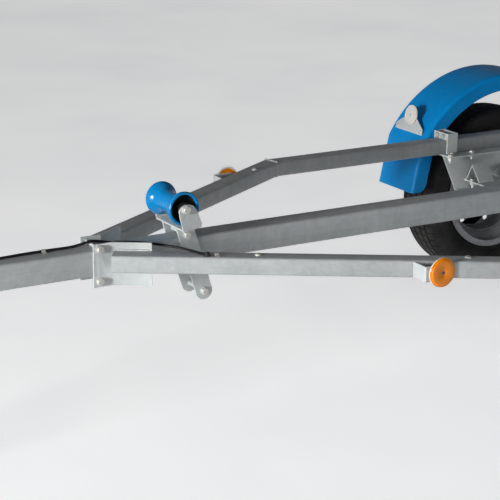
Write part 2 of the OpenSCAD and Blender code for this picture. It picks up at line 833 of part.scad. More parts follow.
module jockey_crank() {
    z = outer_top_z;
    color("dimgray") translate([jockey_x, jockey_y, 0]) {
        translate([0, 0, z - 14]) cylinder(r = 8, h = 40);
        translate([0, 0, z + 0.3]) cylinder(r = 22, h = 8);
        translate([-12, -110, z + 18]) cube([24, 118, 8]);
        translate([0, -100, z + 24]) cylinder(r = 12, h = 90);
    }
}

module jockey_fork() {
    top = leg_foot_z - 0.5;
    wx = jockey_x - jockey_trail;
    color("gainsboro") {
        translate([jockey_x, jockey_y, top - 8]) cylinder(r = kingpin_r + 14, h = 8);
        translate([jockey_x, jockey_y, top - 1]) cylinder(r = kingpin_r, h = 34);
        translate([wx - 25, jockey_y - fork_half - 5, top - 8])
            cube([jockey_trail + 35, 2 * fork_half + 10, 8]);
        for (s = [-1, 1])
            plate_y(jockey_y + (s < 0 ? -fork_half - 5 : fork_half), 5) {
                bar_outline([wx, jockey_wheel_r], [wx, top - 25], 50);
                translate([wx - 25, top - 30]) square([jockey_trail + 35, 30]);
            }
        rod_y(wx, jockey_wheel_r, 6, jockey_y - fork_half - 12, jockey_y + fork_half + 12);
    }
}

module jockey_wheel() {
    h = jockey_wheel_w / 2;
    r = jockey_wheel_r;
    color([0.12, 0.12, 0.13]) translate([jockey_x - jockey_trail, jockey_y, r]) rotate([-90, 0, 0])
        rotate_extrude() polygon([
            [6 + running_gap, -h], [22, -h], [22, -9], [68, -9], [68, -h + 3], [r - 14, -h],
            [r, -h + 12], [r, h - 12], [r - 14, h], [68, h - 3], [68, 9], [22, 9], [22, h],
            [6 + running_gap, h]
        ]);
}

/* ---- Lights and reflectors ---- */
board_top_z = beam_bottom_z - 6;
lamp_w = 210;
pad_w = 530;
pad_t = 2;

module light_board() {
    x0 = tail_x + lamp_depth;
    in_y = min(rail_y - 25, board_w / 2 - 60);
    arm_w = rail_y + 25 - in_y;
    color("#0b6fb3") {
        difference() {
            translate([x0, -board_w / 2, board_top_z - board_h]) cube([board_t, board_w, board_h]);
            translate([x0 + 5, -board_w / 2 + 8, board_top_z - board_h + 8])
                cube([board_t, board_w - 16, board_h - 16]);
        }
        // seat for the number plate
        translate([x0 - pad_t, -pad_w / 2, board_top_z - board_h + 3]) cube([pad_t + 1, pad_w, board_h - 6]);
    }
    color("silver") both() {
        translate([frame_end_x - 5, in_y, board_top_z - board_h + 20])
            cube([5, arm_w, rail_top_z - board_top_z + board_h - 20]);
        translate([frame_end_x - 5, in_y, rail_z - 5]) cube([60, arm_w, 5]);
    }
}

module tail_lamps() {
    color("firebrick") both()
        translate([tail_x, board_w / 2 - lamp_w - 10, board_top_z - board_h + 8])
            cube([lamp_depth, lamp_w, board_h - 16]);
}

// Web that stands out from the angled rail, and a flange that carries the reflector
side_reflector_ahead = 1238;
side_reflector_out = 28;
side_reflector_z = rail_z + 25;

module side_reflectors() {
    x = axle_x + side_reflector_ahead;
    side_reflector_y = rail_face_y(x) + side_reflector_out;
    web_x = x + side_reflector_r + 8;
    web_t = 4;
    low_z = side_reflector_z - 22;
    color("gainsboro") both() {
        translate([0, 0, low_z]) linear_extrude(44) polygon([
            [web_x, rail_face_y(web_x)], [web_x + web_t, rail_face_y(web_x + web_t)],
            [web_x + web_t, side_reflector_y], [web_x, side_reflector_y]
        ]);
        translate([x - 20, side_reflector_y - web_t, low_z]) cube([web_x - x + 20 + web_t, web_t, 44]);
    }
    color("darkorange") both()
        rod_y(x, side_reflector_z, side_reflector_r, side_reflector_y, side_reflector_y + 9);
}

reflector_lean = 13;

module front_reflectors() {
    z_low = guard_z + guard_r * 0.55;
    x = axle_x - guard_back + sqrt(guard_r * guard_r - pow(z_low - guard_z, 2));
    y = guard_in_y + guard_w / 2;
    both() translate([x, y, z_low]) rotate([0, -reflector_lean, 0]) {
        color("gainsboro") {
            rotate([90, 0, 90]) linear_extrude(3)
                polygon([[-84, 0], [84, 0], [80, 22], [34, 50], [-34, 50], [-80, 22]]);
            translate([0, 0, 62]) rotate([0, 90, 0]) cylinder(r = front_reflector_r - 2, h = 3);
        }
        color("whitesmoke") translate([3, 0, 62]) rotate([0, 90, 0]) cylinder(r = front_reflector_r, h = 7);
    }
}

/* ---- Wiring ---- */
// The cable lies on the beam, rises over the clamp's rod, crosses behind the wing to the left rail's top.
// Points are ahead of the axle, left, and up.
cable_r = 4;
cable_points = [
    [2440, -4, 581.5], [2370, -6, 581.5], [2292, -10, 581.5], [2215, -16, 581.5], [2138, -18, 581.5],
    [2080, -17, 581.5], [2046, -12, 587], [2016, -6, 593.6], [1986, -4, 589], [1954, -4, 582],
    [1918, 9, 581.5], [1892, 27, 581.5], [1868, 48, 581.5], [1846, 76, 581.2], [1826, 106, 581],
    [1807, 136, 580.5], [1792, 170, 579.7], [1782, 200, 579.5], [1772, 228, 579.5]
];
function cable_point(i) = cable_points[i] + [axle_x, 0, 0];
function unit(v) = v / norm(v);
cable_last = len(cable_points) - 1;
function cable_dir(i) = unit(cable_point(min(i + 1, cable_last)) - cable_point(max(i - 1, 0)));
// Catmull-Rom point between two route points
function cable_at(i, t) = let (
        p0 = cable_point(max(i - 1, 0)), p1 = cable_point(i),
        p2 = cable_point(min(i + 1, cable_last)), p3 = cable_point(min(i + 2, cable_last)))
    0.5 * (2 * p1 + t * (p2 - p0) + t * t * (2 * p0 - 5 * p1 + 4 * p2 - p3)
        + t * t * t * (3 * p1 - p0 - 3 * p2 + p3));
cable_steps = 3;
cable_rings = [for (i = [0:cable_last - 1], k = [0:cable_steps - 1]) cable_at(i, k / cable_steps)];
cable_path = concat(cable_rings, [cable_point(cable_last)]);
cable_sides = 8;
grommet_r = 9;
grommet_h = 13;
cable_gap = 0.3;

module wiring_cable() {
    n = len(cable_path);
    ring = [for (i = [0:n - 1]) let (
            d = unit(cable_path[min(i + 1, n - 1)] - cable_path[max(i - 1, 0)]),
            s = unit(cross([0, 0, 1], d)), u = cross(d, s))
        for (k = [0:cable_sides - 1]) cable_path[i]
            + cable_r * (cos(k * 360 / cable_sides) * s + sin(k * 360 / cable_sides) * u)];
    sides = [for (i = [0:n - 2], k = [0:cable_sides - 1]) let (k2 = (k + 1) % cable_sides)
        [i * cable_sides + k, i * cable_sides + k2, (i + 1) * cable_sides + k2, (i + 1) * cable_sides + k]];
    caps = [[for (k = [cable_sides - 1:-1:0]) k], [for (k = [0:cable_sides - 1]) (n - 1) * cable_sides + k]];
    color([0.05, 0.05, 0.05]) polyhedron(points = ring, faces = concat(sides, caps), convexity = 4);
}

// Domed grommets where the cable goes into the beam and into the rail, bored for the cable's end
module cable_grommets() {
    color([0.08, 0.08, 0.08]) for (i = [0, cable_last]) let (
            p = cable_point(i), d = i == 0 ? cable_dir(0) : -cable_dir(cable_last))
        difference() {
            translate([p[0], p[1], i == 0 ? beam_top_z : rail_top_z]) {
                cylinder(r = grommet_r, h = grommet_h - 4);
                translate([0, 0, grommet_h - 4]) cylinder(r1 = grommet_r, r2 = grommet_r - 4, h = 4);
            }
            translate(p - cable_gap * d) rotate([0, acos(d[2]), atan2(d[1], d[0])])
                cylinder(r = cable_r + cable_gap, h = grommet_r + 4);
        }
}

keel_beam();
front_rail();  // front_rail_left
mirror([0, 1, 0]) front_rail();  // front_rail_right
rear_rail();  // rear_rail_left
mirror([0, 1, 0]) rear_rail();  // rear_rail_right
front_clamps();
cross_tubes();
axle_tube();
axle_plates();
axle_centre_bracket();
swing_arms();
hub();  // hub_left
mirror([0, 1, 0]) hub();  // hub_right
rim();  // rim_left
mirror([0, 1, 0]) rim();  // rim_right
tyre();  // tyre_left
mirror([0, 1, 0]) tyre();  // tyre_right
mudguard();  // mudguard_left
mirror([0, 1, 0]) mudguard();  // mudguard_right
mudguard_brackets();
front_roller_cradle();
keel_roller_cradles();
keel_roller(1);  // keel_roller_1
keel_roller(2);  // keel_roller_2
keel_roller(3);  // keel_roller_3
keel_roller(4);  // keel_roller_4
side_supports();
side_roller(0, 1);  // side_roller_front_left
side_roller(0, -1);  // side_roller_front_right
side_roller(1, 1);  // side_roller_rear_left
side_roller(1, -1);  // side_roller_rear_right
winch_post();
bow_roller();
winch_frame();
winch_drum();
winch_crank();
coupling_head();
coupling_handle();
jockey_clamp();
jockey_leg();
jockey_crank();
jockey_fork();
jockey_wheel();
light_board();
tail_lamps();
side_reflectors();
front_reflectors();
wiring_cable();
cable_grommets();
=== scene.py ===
"""Looks of a galvanised boat trailer: rounded tubes, pressed plates, wheels, rollers, lamps and fixings."""

import math

import bmesh
import bpy
import numpy as np
from bpy.props import FloatProperty, FloatVectorProperty, IntProperty, PointerProperty
from bpy.types import Operator, Panel, PropertyGroup
from mathutils import Matrix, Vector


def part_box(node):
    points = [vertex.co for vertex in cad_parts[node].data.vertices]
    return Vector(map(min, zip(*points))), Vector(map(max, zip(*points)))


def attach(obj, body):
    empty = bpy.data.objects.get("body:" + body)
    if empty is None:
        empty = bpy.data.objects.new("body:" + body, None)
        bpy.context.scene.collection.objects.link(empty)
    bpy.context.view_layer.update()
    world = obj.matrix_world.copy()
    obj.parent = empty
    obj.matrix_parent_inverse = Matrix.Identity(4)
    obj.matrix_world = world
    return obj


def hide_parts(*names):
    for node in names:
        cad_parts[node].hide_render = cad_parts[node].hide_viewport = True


bl_info = {
    "name": "Boat trailer",
    "version": (1, 0, 0),
    "blender": (4, 5, 0),
    "location": "3D View > Sidebar > Trailer",
    "description": "Finishes a boat trailer: tubes, plates, wheels, rollers, lamps and fixings",
    "category": "Object",
}

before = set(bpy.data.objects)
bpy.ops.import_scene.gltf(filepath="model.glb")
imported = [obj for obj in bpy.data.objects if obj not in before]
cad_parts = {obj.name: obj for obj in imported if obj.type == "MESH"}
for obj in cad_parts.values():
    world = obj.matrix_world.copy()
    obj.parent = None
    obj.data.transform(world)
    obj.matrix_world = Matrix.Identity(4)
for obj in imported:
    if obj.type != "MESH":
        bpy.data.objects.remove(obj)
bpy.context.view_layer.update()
MM = 0.001
X, Y, Z = np.eye(3)
TAU = 2 * math.pi


def corners(node):
    """Lowest and highest corner of a CAD node."""
    return [np.array(c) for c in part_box(node)]


# ---------------------------------------------------------------- surfaces


def mm(*rows):
    """Rows in millimetres as an array in metres."""
    return np.array(rows) * MM


def unit(v):
    return v / np.linalg.norm(v, axis=-1, keepdims=True)


def grid_faces(rows, cols, wrap_rows=False, wrap_cols=True):
    """Quads between neighbours of a rows-by-cols grid of points, closed on itself where it wraps."""
    i = np.arange(rows if wrap_rows else rows - 1)[:, None]
    j = np.arange(cols if wrap_cols else cols - 1)[None, :]
    i2, j2 = (i + 1) % rows, (j + 1) % cols
    return np.stack([i * cols + j, i * cols + j2, i2 * cols + j2, i2 * cols + j], -1).reshape(-1, 4)


def ends(rows, cols):
    """First and last row of a grid of points, as caps."""
    return np.arange(cols), np.arange(cols) + (rows - 1) * cols


def closed(points, quads, caps=()):
    """A closed shape whose faces point outwards: turned over if a sum of a . (b x c) / 6 is negative."""
    p = points[quads]
    volume = np.einsum("ij,ij->", p[:, 0], np.cross(p[:, 1], p[:, 2]))
    volume += np.einsum("ij,ij->", p[:, 0], np.cross(p[:, 2], p[:, 3]))
    for cap in caps:
        q = points[cap]
        volume += np.einsum("j,ij->", q[0], np.cross(q[1:-1], q[2:]))
    if volume < 0:
        quads = quads[:, ::-1]
        caps = [cap[::-1] for cap in caps]
    return points, quads, [np.asarray(cap) for cap in caps]


def joined(shapes):
    """Several shapes as one list of points, quads and caps."""
    counts = np.cumsum([0] + [len(s[0]) for s in shapes])
    points = np.concatenate([s[0] for s in shapes])
    quads = np.concatenate([s[1] + n for s, n in zip(shapes, counts)])
    caps = [cap + n for s, n in zip(shapes, counts) for cap in s[2]]
    return points, quads, caps


def mirrored(shapes):
    """The shapes, and their copies with Y turned to -Y."""
    flip = np.array([1, -1, 1])
    return shapes + [closed(p * flip, q, c) for p, q, c in shapes]


def across(axis):
    """Two unit vectors square to an axis and to each other."""
    axis = unit(np.asarray(axis, float))
    side = unit(np.cross(axis, Z if abs(axis[2]) < 0.9 else X))
    return axis, side, np.cross(axis, side)


def hexagon(steps):
    """Radius of a hexagon of apothem 1 round a turn: 1 / cos of the angle from the nearest flat's middle."""
    a = np.arange(steps) * TAU / steps
    return 1 / np.cos((a + TAU / 12) % (TAU / 6) - TAU / 12)


def turned(profile, centre, axis, steps=48, ring=False, shape=None):
    """Profile of (radius, height) turned about an axis: centre + height*axis + radius*(cos t side +
    sin t up). A ring's profile closes on itself; any other is closed by a flat cap at each end. shape
    multiplies the radius of each row by a factor for each step."""
    axis, side, up = across(axis)
    r, h = np.asarray(profile, float).T
    r = r[:, None] * (np.ones(steps) if shape is None else shape)
    t = np.arange(steps) * TAU / steps
    points = (np.asarray(centre, float) + h[:, None, None] * axis
              + (r * np.cos(t))[..., None] * side + (r * np.sin(t))[..., None] * up)
    n = len(h)
    return closed(points.reshape(-1, 3), grid_faces(n, steps, wrap_rows=ring), () if ring else ends(n, steps))


def rounded(outline, radius, steps=5):
    """Closed outline with each corner turned into an arc that touches both sides: the arc's centre lies on
    the corner's bisector, and its angle runs from one side's normal to the other's."""
    p = np.asarray(outline, float)
    r = np.broadcast_to(np.asarray(radius, float), (len(p),))[:, None]
    a, b = unit(np.roll(p, 1, 0) - p), unit(np.roll(p, -1, 0) - p)
    half = np.arccos(np.clip((a * b).sum(1), -1, 1))[:, None] / 2
    centre = p + unit(a + b) * r / np.sin(half)
    start, end = p + a * r / np.tan(half) - centre, p + b * r / np.tan(half) - centre
    t0 = np.arctan2(start[:, 1], start[:, 0])
    turn = (np.arctan2(end[:, 1], end[:, 0]) - t0 + math.pi) % TAU - math.pi
    t = t0[:, None] + turn[:, None] * np.linspace(0, 1, steps)
    arc = centre[:, None] + r[:, None] * np.stack([np.cos(t), np.sin(t)], -1)
    return arc.reshape(-1, 2)


def inset(outline, amount):
    """Outline moved in along the mean of its neighbours' normals."""
    p = np.asarray(outline, float)
    ahead, back = unit(np.roll(p, -1, 0) - p), unit(p - np.roll(p, 1, 0))
    n = unit(ahead + back)[:, ::-1] * [-1, 1]
    x, y = p.T
    turn = np.sign((x * np.roll(y, -1) - np.roll(x, -1) * y).sum())
    return p + n * turn * amount


def plate(outline, origin, ex, ey, thick, edge=0.0008, steps=3):
    """Flat plate with rounded edges: its outline at origin + x*ex + y*ey, carried along ex x ey for its
    thickness, moved in by edge*(1 - cos t) where the height is edge*(1 - sin t) from either face."""
    ex, ey = np.asarray(ex, float), np.asarray(ey, float)
    up = np.cross(ex, ey)
    t = np.linspace(0, math.pi / 2, steps)
    moves, lifts = edge * (1 - np.sin(t)), edge * (1 - np.cos(t))
    moves = np.concatenate([moves, moves[::-1]])
    lifts = np.concatenate([lifts, thick - lifts[::-1]])
    flat = np.stack([inset(outline, m) for m in moves])
    points = np.asarray(origin, float) + flat[..., :1] * ex + flat[..., 1:] * ey + lifts[:, None, None] * up
    n, m = flat.shape[:2]
    return closed(points.reshape(-1, 3), grid_faces(n, m), ends(n, m))


def box_outline(x0, y0, x1, y1):
    return [(x0, y0), (x1, y0), (x1, y1), (x0, y1)]


def bar_outline(a, b, width, steps=13):
    """Outline of a bar with round ends: half a circle about b, then half a circle about a."""
    a, b = np.asarray(a, float), np.asarray(b, float)
    d = math.atan2(*(b - a)[::-1])
    t = d + np.linspace(-math.pi / 2, math.pi / 2, steps)
    arc = width / 2 * np.stack([np.cos(t), np.sin(t)], -1)
    return np.concatenate([b + arc, a - arc])


def carried(path, section, up, scale=None):
    """Section of (sideways, upwards) carried along a path: at each point the side vector is up x direction,
    stretched where the path bends so that the walls stay parallel. Its ends are capped."""
    path, section = np.asarray(path, float), np.asarray(section, float)
    step = unit(np.diff(path, axis=0))
    into, out = np.vstack([step[:1], step]), np.vstack([step, step[-1:]])
    along = unit(into + out)
    up = np.broadcast_to(np.asarray(up, float), path.shape)
    side = unit(np.cross(up, along))
    side = side / np.maximum(np.einsum("ij,ij->i", along, into), 0.3)[:, None]
    over = unit(np.cross(along, np.cross(up, along)))
    grow = np.ones(len(path)) if scale is None else np.asarray(scale)
    points = (path[:, None] + grow[:, None, None] * (section[None, :, :1] * side[:, None]
              + section[None, :, 1:] * over[:, None]))
    n, m = points.shape[:2]
    return closed(points.reshape(-1, 3), grid_faces(n, m), ends(n, m))


def box_tube(path, width, height, corner, wall):
    """Hollow rectangular tube: an outer and an inner rounded section carried along a path with mitred bends,
    joined by a ring at each end."""
    def section(w, h, r):
        return rounded(box_outline(-w / 2, -h / 2, w / 2, h / 2), r)
    outer = carried(path, section(width, height, corner), Z)[0]
    inner = carried(path, section(width - 2 * wall, height - 2 * wall, max(corner - wall, 0.001)), Z)[0]
    n = len(path)
    m = len(outer) // n
    rows = np.concatenate([outer.reshape(n, m, 3), inner.reshape(n, m, 3)[::-1]])
    return closed(rows.reshape(-1, 3), grid_faces(2 * n, m, wrap_rows=True))


def smooth_path(points, steps):
    """Catmull-Rom curve through the points: a cubic between each pair, with the neighbours' slope."""
    p = np.asarray(points, float)
    q = np.vstack([2 * p[0] - p[1], p, 2 * p[-1] - p[-2]])
    t = (np.arange(steps) / steps)[None, :, None]
    a, b, c, d = (q[k:len(q) - 3 + k, None] for k in range(4))
    curve = 0.5 * (2 * b + t * (c - a) + t**2 * (2 * a - 5 * b + 4 * c - d) + t**3 * (3 * b - a - 3 * c + d))
    return np.vstack([curve.reshape(-1, p.shape[1]), p[-1]])


def both_ways(rows):
    """Profile rows and, in reverse order, their mirror images in the second value."""
    rows = np.asarray(rows, float)
    return np.concatenate([rows, rows[::-1] * [1, -1]])


def circle(radius, steps=16):
    t = np.arange(steps) * TAU / steps
    return radius * np.stack([np.cos(t), np.sin(t)], -1)


def weld(a, b, radius, pitch=0.006):
    """Weld bead: a round section carried from a to b, swelling with each ripple of the given pitch."""
    a, b = np.asarray(a, float), np.asarray(b, float)
    n = max(int(np.linalg.norm(b - a) / pitch * 4), 8)
    s = np.linspace(0, 1, n)
    swell = 1 + 0.22 * np.abs(np.sin(s * n / 4 * math.pi)) - 0.75 * np.abs(2 * s - 1) ** 14
    up = across(b - a)[1]
    return carried(a + s[:, None] * (b - a), circle(radius, 8), up, swell)


def gear_shape(teeth, root, tip, steps=8):
    """Radius round a toothed wheel: a clipped cosine between root and tip."""
    t = np.arange(teeth * steps) * TAU / (teeth * steps)
    return root + (tip - root) * np.clip(0.5 + 1.1 * np.cos(teeth * t), 0, 1)


def toothed(centre, axis, teeth, root, tip, width):
    """Toothed wheel: its radius is a gear's shape, and its edges are bevelled."""
    r = gear_shape(teeth, root, tip)
    rows = [(0.985, 0), (1, 0.0008), (1, width - 0.0008), (0.985, width)]
    return turned(rows, centre, axis, len(r), shape=r)


def stacked(rows, steps=24):
    """Rows of (radius, height, six-sided or not) turned about Z, with a cap below and above."""
    r = np.array([row[0] * (hexagon(steps) if row[2] else np.ones(steps)) for row in rows])
    h = np.array([row[1] for row in rows])
    t = np.arange(steps) * TAU / steps
    points = np.stack([r * np.cos(t), r * np.sin(t), np.broadcast_to(h[:, None], r.shape)], -1)
    return closed(points.reshape(-1, 3), grid_faces(len(rows), steps), ends(len(rows), steps))


# Washer with a bolt's head or nut and thread, for a bolt of 10 mm, a domed bolt and a rivet, on their seats:
# rows of radius, height and whether the row is six-sided
WASHER = [(0.0105, -0.0005, 0), (0.0105, 0.0016, 0), (0.0102, 0.002, 0)]
HEAD = WASHER + [(0.0081, 0.0021, 0), (0.0085, 0.003, 1), (0.0085, 0.0074, 1), (0.0084, 0.0080, 0),
                 (0.0076, 0.0087, 0)]
NUT = WASHER + [(0.0081, 0.0021, 0), (0.0085, 0.003, 1), (0.0085, 0.0092, 1), (0.0084, 0.0098, 0),
                (0.0076, 0.0104, 0), (0.0056, 0.0104, 0)] + [
    (0.005 - 0.0004 * (k % 2), 0.0106 + 0.0011 * k, 0) for k in range(7)] + [(0.004, 0.0186, 0)]
DOME = [(0.0105, -0.0005, 0)] + [
    (0.0105 * math.cos(a) ** 0.8, 0.0058 * math.sin(a), 0) for a in np.linspace(0.12, 1.45, 6)]
RIVET = [(0.0055, -0.0005, 0)] + [
    (0.0055 * math.cos(a), 0.0028 * math.sin(a), 0) for a in np.linspace(0.1, 1.45, 5)]


def placed(rows, seats, axis, size=1.0):
    """Copies of one fixing at several seats, given in millimetres, its axis turned to the one given."""
    points, quads, caps = stacked(rows)
    axis, side, up = across(axis)
    turn = np.stack([side, np.cross(axis, side), axis])
    return [(points * size @ turn + np.asarray(seat, float) * MM, quads, caps) for seat in seats]


# ---------------------------------------------------------------- materials


def linear(rgb):
    """Screen colour of 0 to 255 as linear light."""
    c = np.asarray(rgb, float) / 255
    return tuple(np.where(c <= 0.04045, c / 12.92, ((c + 0.055) / 1.055) ** 2.4)) + (1.0,)


groups = {}


class Nodes:
    """A short way to add and join nodes in one tree."""

    def __init__(self, tree):
        self.tree = tree

    def add(self, kind, inputs=None, **settings):
        node = self.tree.nodes.new(kind)
        for key, value in settings.items():
            setattr(node, key, value)
        for key, value in (inputs or {}).items():
            self.put(value, node.inputs[key])
        return node

    def put(self, value, socket):
        """Join another node's output to a socket, or give the socket a plain value."""
        if isinstance(value, bpy.types.NodeSocket):
            self.tree.links.new(value, socket)
        else:
            socket.default_value = value

    def shared(self, builder, inputs):
        """Outputs of a shared group placed in this tree; the group is made at its first use."""
        if builder not in groups:
            groups[builder] = builder()
        return self.add("ShaderNodeGroup", inputs, node_tree=groups[builder]).outputs

    def noise(self, vector, scale, detail=4.0, rough=0.6, distortion=0.0):
        return self.add("ShaderNodeTexNoise", {"Vector": vector, "Scale": scale, "Detail": detail,
                                               "Roughness": rough, "Distortion": distortion}).outputs["Fac"]

    def remap(self, value, low, high, to_low=0.0, to_high=1.0):
        return self.add("ShaderNodeMapRange", {"Value": value, "From Min": low, "From Max": high,
                                               "To Min": to_low, "To Max": to_high}).outputs["Result"]

    def math(self, operation, a, b):
        return self.add("ShaderNodeMath", {0: a, 1: b}, operation=operation).outputs[0]

    def mix(self, factor, a, b, blend="MIX"):
        node = self.add("ShaderNodeMix", data_type="RGBA", blend_type=blend)
        for key, value in ((0, factor), (6, a), (7, b)):
            self.put(value, node.inputs[key])
        return node.outputs[2]

    def stretch(self, vector, scale):
        return self.add("ShaderNodeMapping", {"Vector": vector, "Scale": scale}).outputs["Vector"]


def new_group(name, inputs, outputs):
    """An empty node group with named sockets; returns its nodes, its input node and its output node."""
    tree = bpy.data.node_groups.new(name, "ShaderNodeTree")
    for label, kind, default in inputs:
        socket = tree.interface.new_socket(label, in_out="INPUT", socket_type=kind)
        if default is not None:
            socket.default_value = default
    for label, kind in outputs:
        tree.interface.new_socket(label, in_out="OUTPUT", socket_type=kind)
    nodes = Nodes(tree)
    return nodes, nodes.add("NodeGroupInput"), nodes.add("NodeGroupOutput")


def zinc_bloom_group():
    """Hot-dip zinc: crystals of slightly different grey, clouds, and runs drawn down the surface."""
    colour, number, vector = "NodeSocketColor", "NodeSocketFloat", "NodeSocketVector"
    n, i, o = new_group("zinc_bloom", [
        ("Vector", vector, None), ("Light", colour, None), ("Dark", colour, None),
        ("Crystal scale", number, 70.0), ("Streaks", number, 0.5)],
        [("Colour", colour), ("Roughness", number), ("Height", number)])
    at = i.outputs["Vector"]
    bent = n.add("ShaderNodeVectorMath", {0: at, 1: n.stretch(
        n.add("ShaderNodeTexNoise", {"Vector": at, "Scale": 45.0, "Detail": 2.0}).outputs["Color"],
        (0.012, 0.012, 0.012))}, operation="ADD").outputs[0]
    cells = n.add("ShaderNodeTexVoronoi", {"Vector": bent, "Scale": i.outputs["Crystal scale"]})
    grey = n.add("ShaderNodeSeparateColor", {"Color": cells.outputs["Color"]}).outputs[0]
    clouds = n.noise(at, 5.0, 5.0, 0.62, 0.6)
    fine = n.noise(at, 210.0, 3.0, 0.6)
    runs = n.noise(n.stretch(at, (22.0, 22.0, 2.2)), 1.0, 4.0, 0.65, 0.4)
    brushed = n.noise(n.stretch(at, (6.0, 90.0, 160.0)), 1.0, 3.0, 0.55)
    crystal = n.remap(grey, 0.0, 1.0, -0.12, 0.12)
    cloud = n.remap(clouds, 0.25, 0.75, -0.22, 0.22)
    streak = n.math("MULTIPLY", n.remap(runs, 0.3, 0.72, -0.3, 0.22), i.outputs["Streaks"])
    line = n.math("MULTIPLY", n.remap(brushed, 0.3, 0.7, -0.22, 0.22), i.outputs["Streaks"])
    total = n.math("ADD", n.math("ADD", crystal, cloud), n.math("ADD", streak, line))
    mask = n.math("ADD", total, 0.5)
    clamped = n.remap(mask, 0.0, 1.0)
    n.put(n.mix(clamped, i.outputs["Dark"], i.outputs["Light"]), o.inputs["Colour"])
    n.put(n.math("ADD", n.remap(mask, 0.1, 0.9, 0.58, 0.44), n.remap(fine, 0.3, 0.7, -0.05, 0.05)),
          o.inputs["Roughness"])
    n.put(n.math("ADD", n.math("MULTIPLY", fine, 0.35), n.math("MULTIPLY", grey, 0.25)), o.inputs["Height"])
    return n.tree


def edge_wear_and_highlight_group():
    """Mask of edges: how far the rounded normal leans from the true one, broken up by noise. On zinc it lays
    painted highlights along the edges; on plastic and rubber it marks paler scuffed edges.
    """
    n, i, o = new_group("edge_wear_and_highlight_mask", [
        ("Vector", "NodeSocketVector", None), ("Radius", "NodeSocketFloat", 0.003),
        ("Amount", "NodeSocketFloat", 1.0)], [("Mask", "NodeSocketFloat")])
    round_normal = n.add("ShaderNodeBevel", {"Radius": i.outputs["Radius"]}, samples=4).outputs["Normal"]
    true_normal = n.add("ShaderNodeNewGeometry").outputs["Normal"]
    lean = n.add("ShaderNodeVectorMath", {0: round_normal, 1: true_normal}, operation="DOT_PRODUCT")
    edge = n.remap(lean.outputs["Value"], 0.995, 0.86)
    broken = n.remap(n.noise(i.outputs["Vector"], 55.0, 5.0, 0.7), 0.35, 0.6)
    n.put(n.math("MULTIPLY", n.math("MULTIPLY", edge, broken), i.outputs["Amount"]), o.inputs["Mask"])
    return n.tree


def dust_group():
    """Mask of dust and splashes: clouds of noise, stronger near the ground."""
    n, i, o = new_group("road_dust", [
        ("Vector", "NodeSocketVector", None), ("Amount", "NodeSocketFloat", 0.5),
        ("Top", "NodeSocketFloat", 0.6)], [("Mask", "NodeSocketFloat")])
    at = i.outputs["Vector"]
    height = n.add("ShaderNodeSeparateXYZ", {0: at}).outputs["Z"]
    low = n.math("SUBTRACT", 1.0, n.math("DIVIDE", height, i.outputs["Top"]))
    clouds = n.remap(n.noise(at, 14.0, 6.0, 0.66, 0.4), 0.38, 0.72)
    base = n.math("MAXIMUM", n.math("ADD", low, 0.35), 0.0)
    n.put(n.math("MULTIPLY", n.math("MULTIPLY", base, clouds), i.outputs["Amount"]), o.inputs["Mask"])
    return n.tree


def start_material(name, **shader):
    """A material with one Principled shader whose plain numbers are on its own sockets."""
    material = bpy.data.materials.new(name)
    material.use_nodes = True
    tree = material.node_tree
    bsdf = tree.nodes["Principled BSDF"]
    for key, value in shader.items():
        bsdf.inputs[key.replace("_", " ")].default_value = value
    n = Nodes(tree)
    at = n.add("ShaderNodeTexCoord").outputs["Object"]
    return material, n, bsdf, at


def bump(n, bsdf, height, strength, distance=0.0006):
    node = n.add("ShaderNodeBump", {"Strength": strength, "Distance": distance, "Height": height})
    n.put(node.outputs["Normal"], bsdf.inputs["Normal"])


def zinc(name, light, dark, metallic, crystals=70.0, streaks=0.5, edge_wear_and_highlight_amount=0.55):
    """Galvanised or plated steel with painted highlights: a lighter zinc colour laid along its edges."""
    material, n, bsdf, at = start_material(name, Metallic=metallic, Specular_IOR_Level=0.25)
    bloom = n.shared(zinc_bloom_group, {"Vector": at, "Light": linear(light), "Dark": linear(dark),
                                        "Crystal scale": crystals, "Streaks": streaks})
    # Painted highlight: the edge mask mixes the zinc towards a lighter colour, 32 steps above its light tone,
    # where light would catch the rounded edges.
    worn_and_highlit_edge = n.shared(edge_wear_and_highlight_group, {"Vector": at, "Amount": edge_wear_and_highlight_amount})["Mask"]
    painted_highlight_colour = linear(np.minimum(np.asarray(light) + 32, 245))
    n.put(n.mix(worn_and_highlit_edge, bloom["Colour"], painted_highlight_colour), bsdf.inputs["Base Color"])
    n.put(bloom["Roughness"], bsdf.inputs["Roughness"])
    bump(n, bsdf, bloom["Height"], 0.25, 0.0004)
    return material


DUST = (150, 143, 130)


def plastic(name, base, shade, worn_and_highlit_edge, rough=0.32, grain=520.0, grain_strength=0.12, dust=0.35, edge_wear_and_highlight_amount=0.4,
            coat=0.0):
    """Moulded plastic, rubber or paint: slow colour drift, fine grain, dust low down and pale edges."""
    material, n, bsdf, at = start_material(name, Specular_IOR_Level=0.18, Coat_Weight=coat,
                                           Coat_Roughness=0.12)
    dirt = n.shared(dust_group, {"Vector": at, "Amount": dust})["Mask"]
    edges = n.shared(edge_wear_and_highlight_group, {"Vector": at, "Amount": edge_wear_and_highlight_amount, "Radius": 0.002})["Mask"]
    drift = n.remap(n.noise(at, 7.0, 5.0, 0.6, 0.3), 0.3, 0.7)
    colour = n.mix(drift, linear(shade), linear(base))
    colour = n.mix(edges, colour, linear(worn_and_highlit_edge))
    n.put(n.mix(dirt, colour, linear(DUST)), bsdf.inputs["Base Color"])
    fine = n.noise(at, grain, 2.0, 0.5)
    scuffs = n.remap(n.noise(n.stretch(at, (9.0, 60.0, 60.0)), 1.0, 5.0, 0.7), 0.35, 0.7, -0.07, 0.12)
    rough_map = n.math("ADD", n.math("ADD", scuffs, rough), n.math("MULTIPLY", dirt, 0.35))
    n.put(rough_map, bsdf.inputs["Roughness"])
    bump(n, bsdf, fine, grain_strength, 0.0005)
    return material


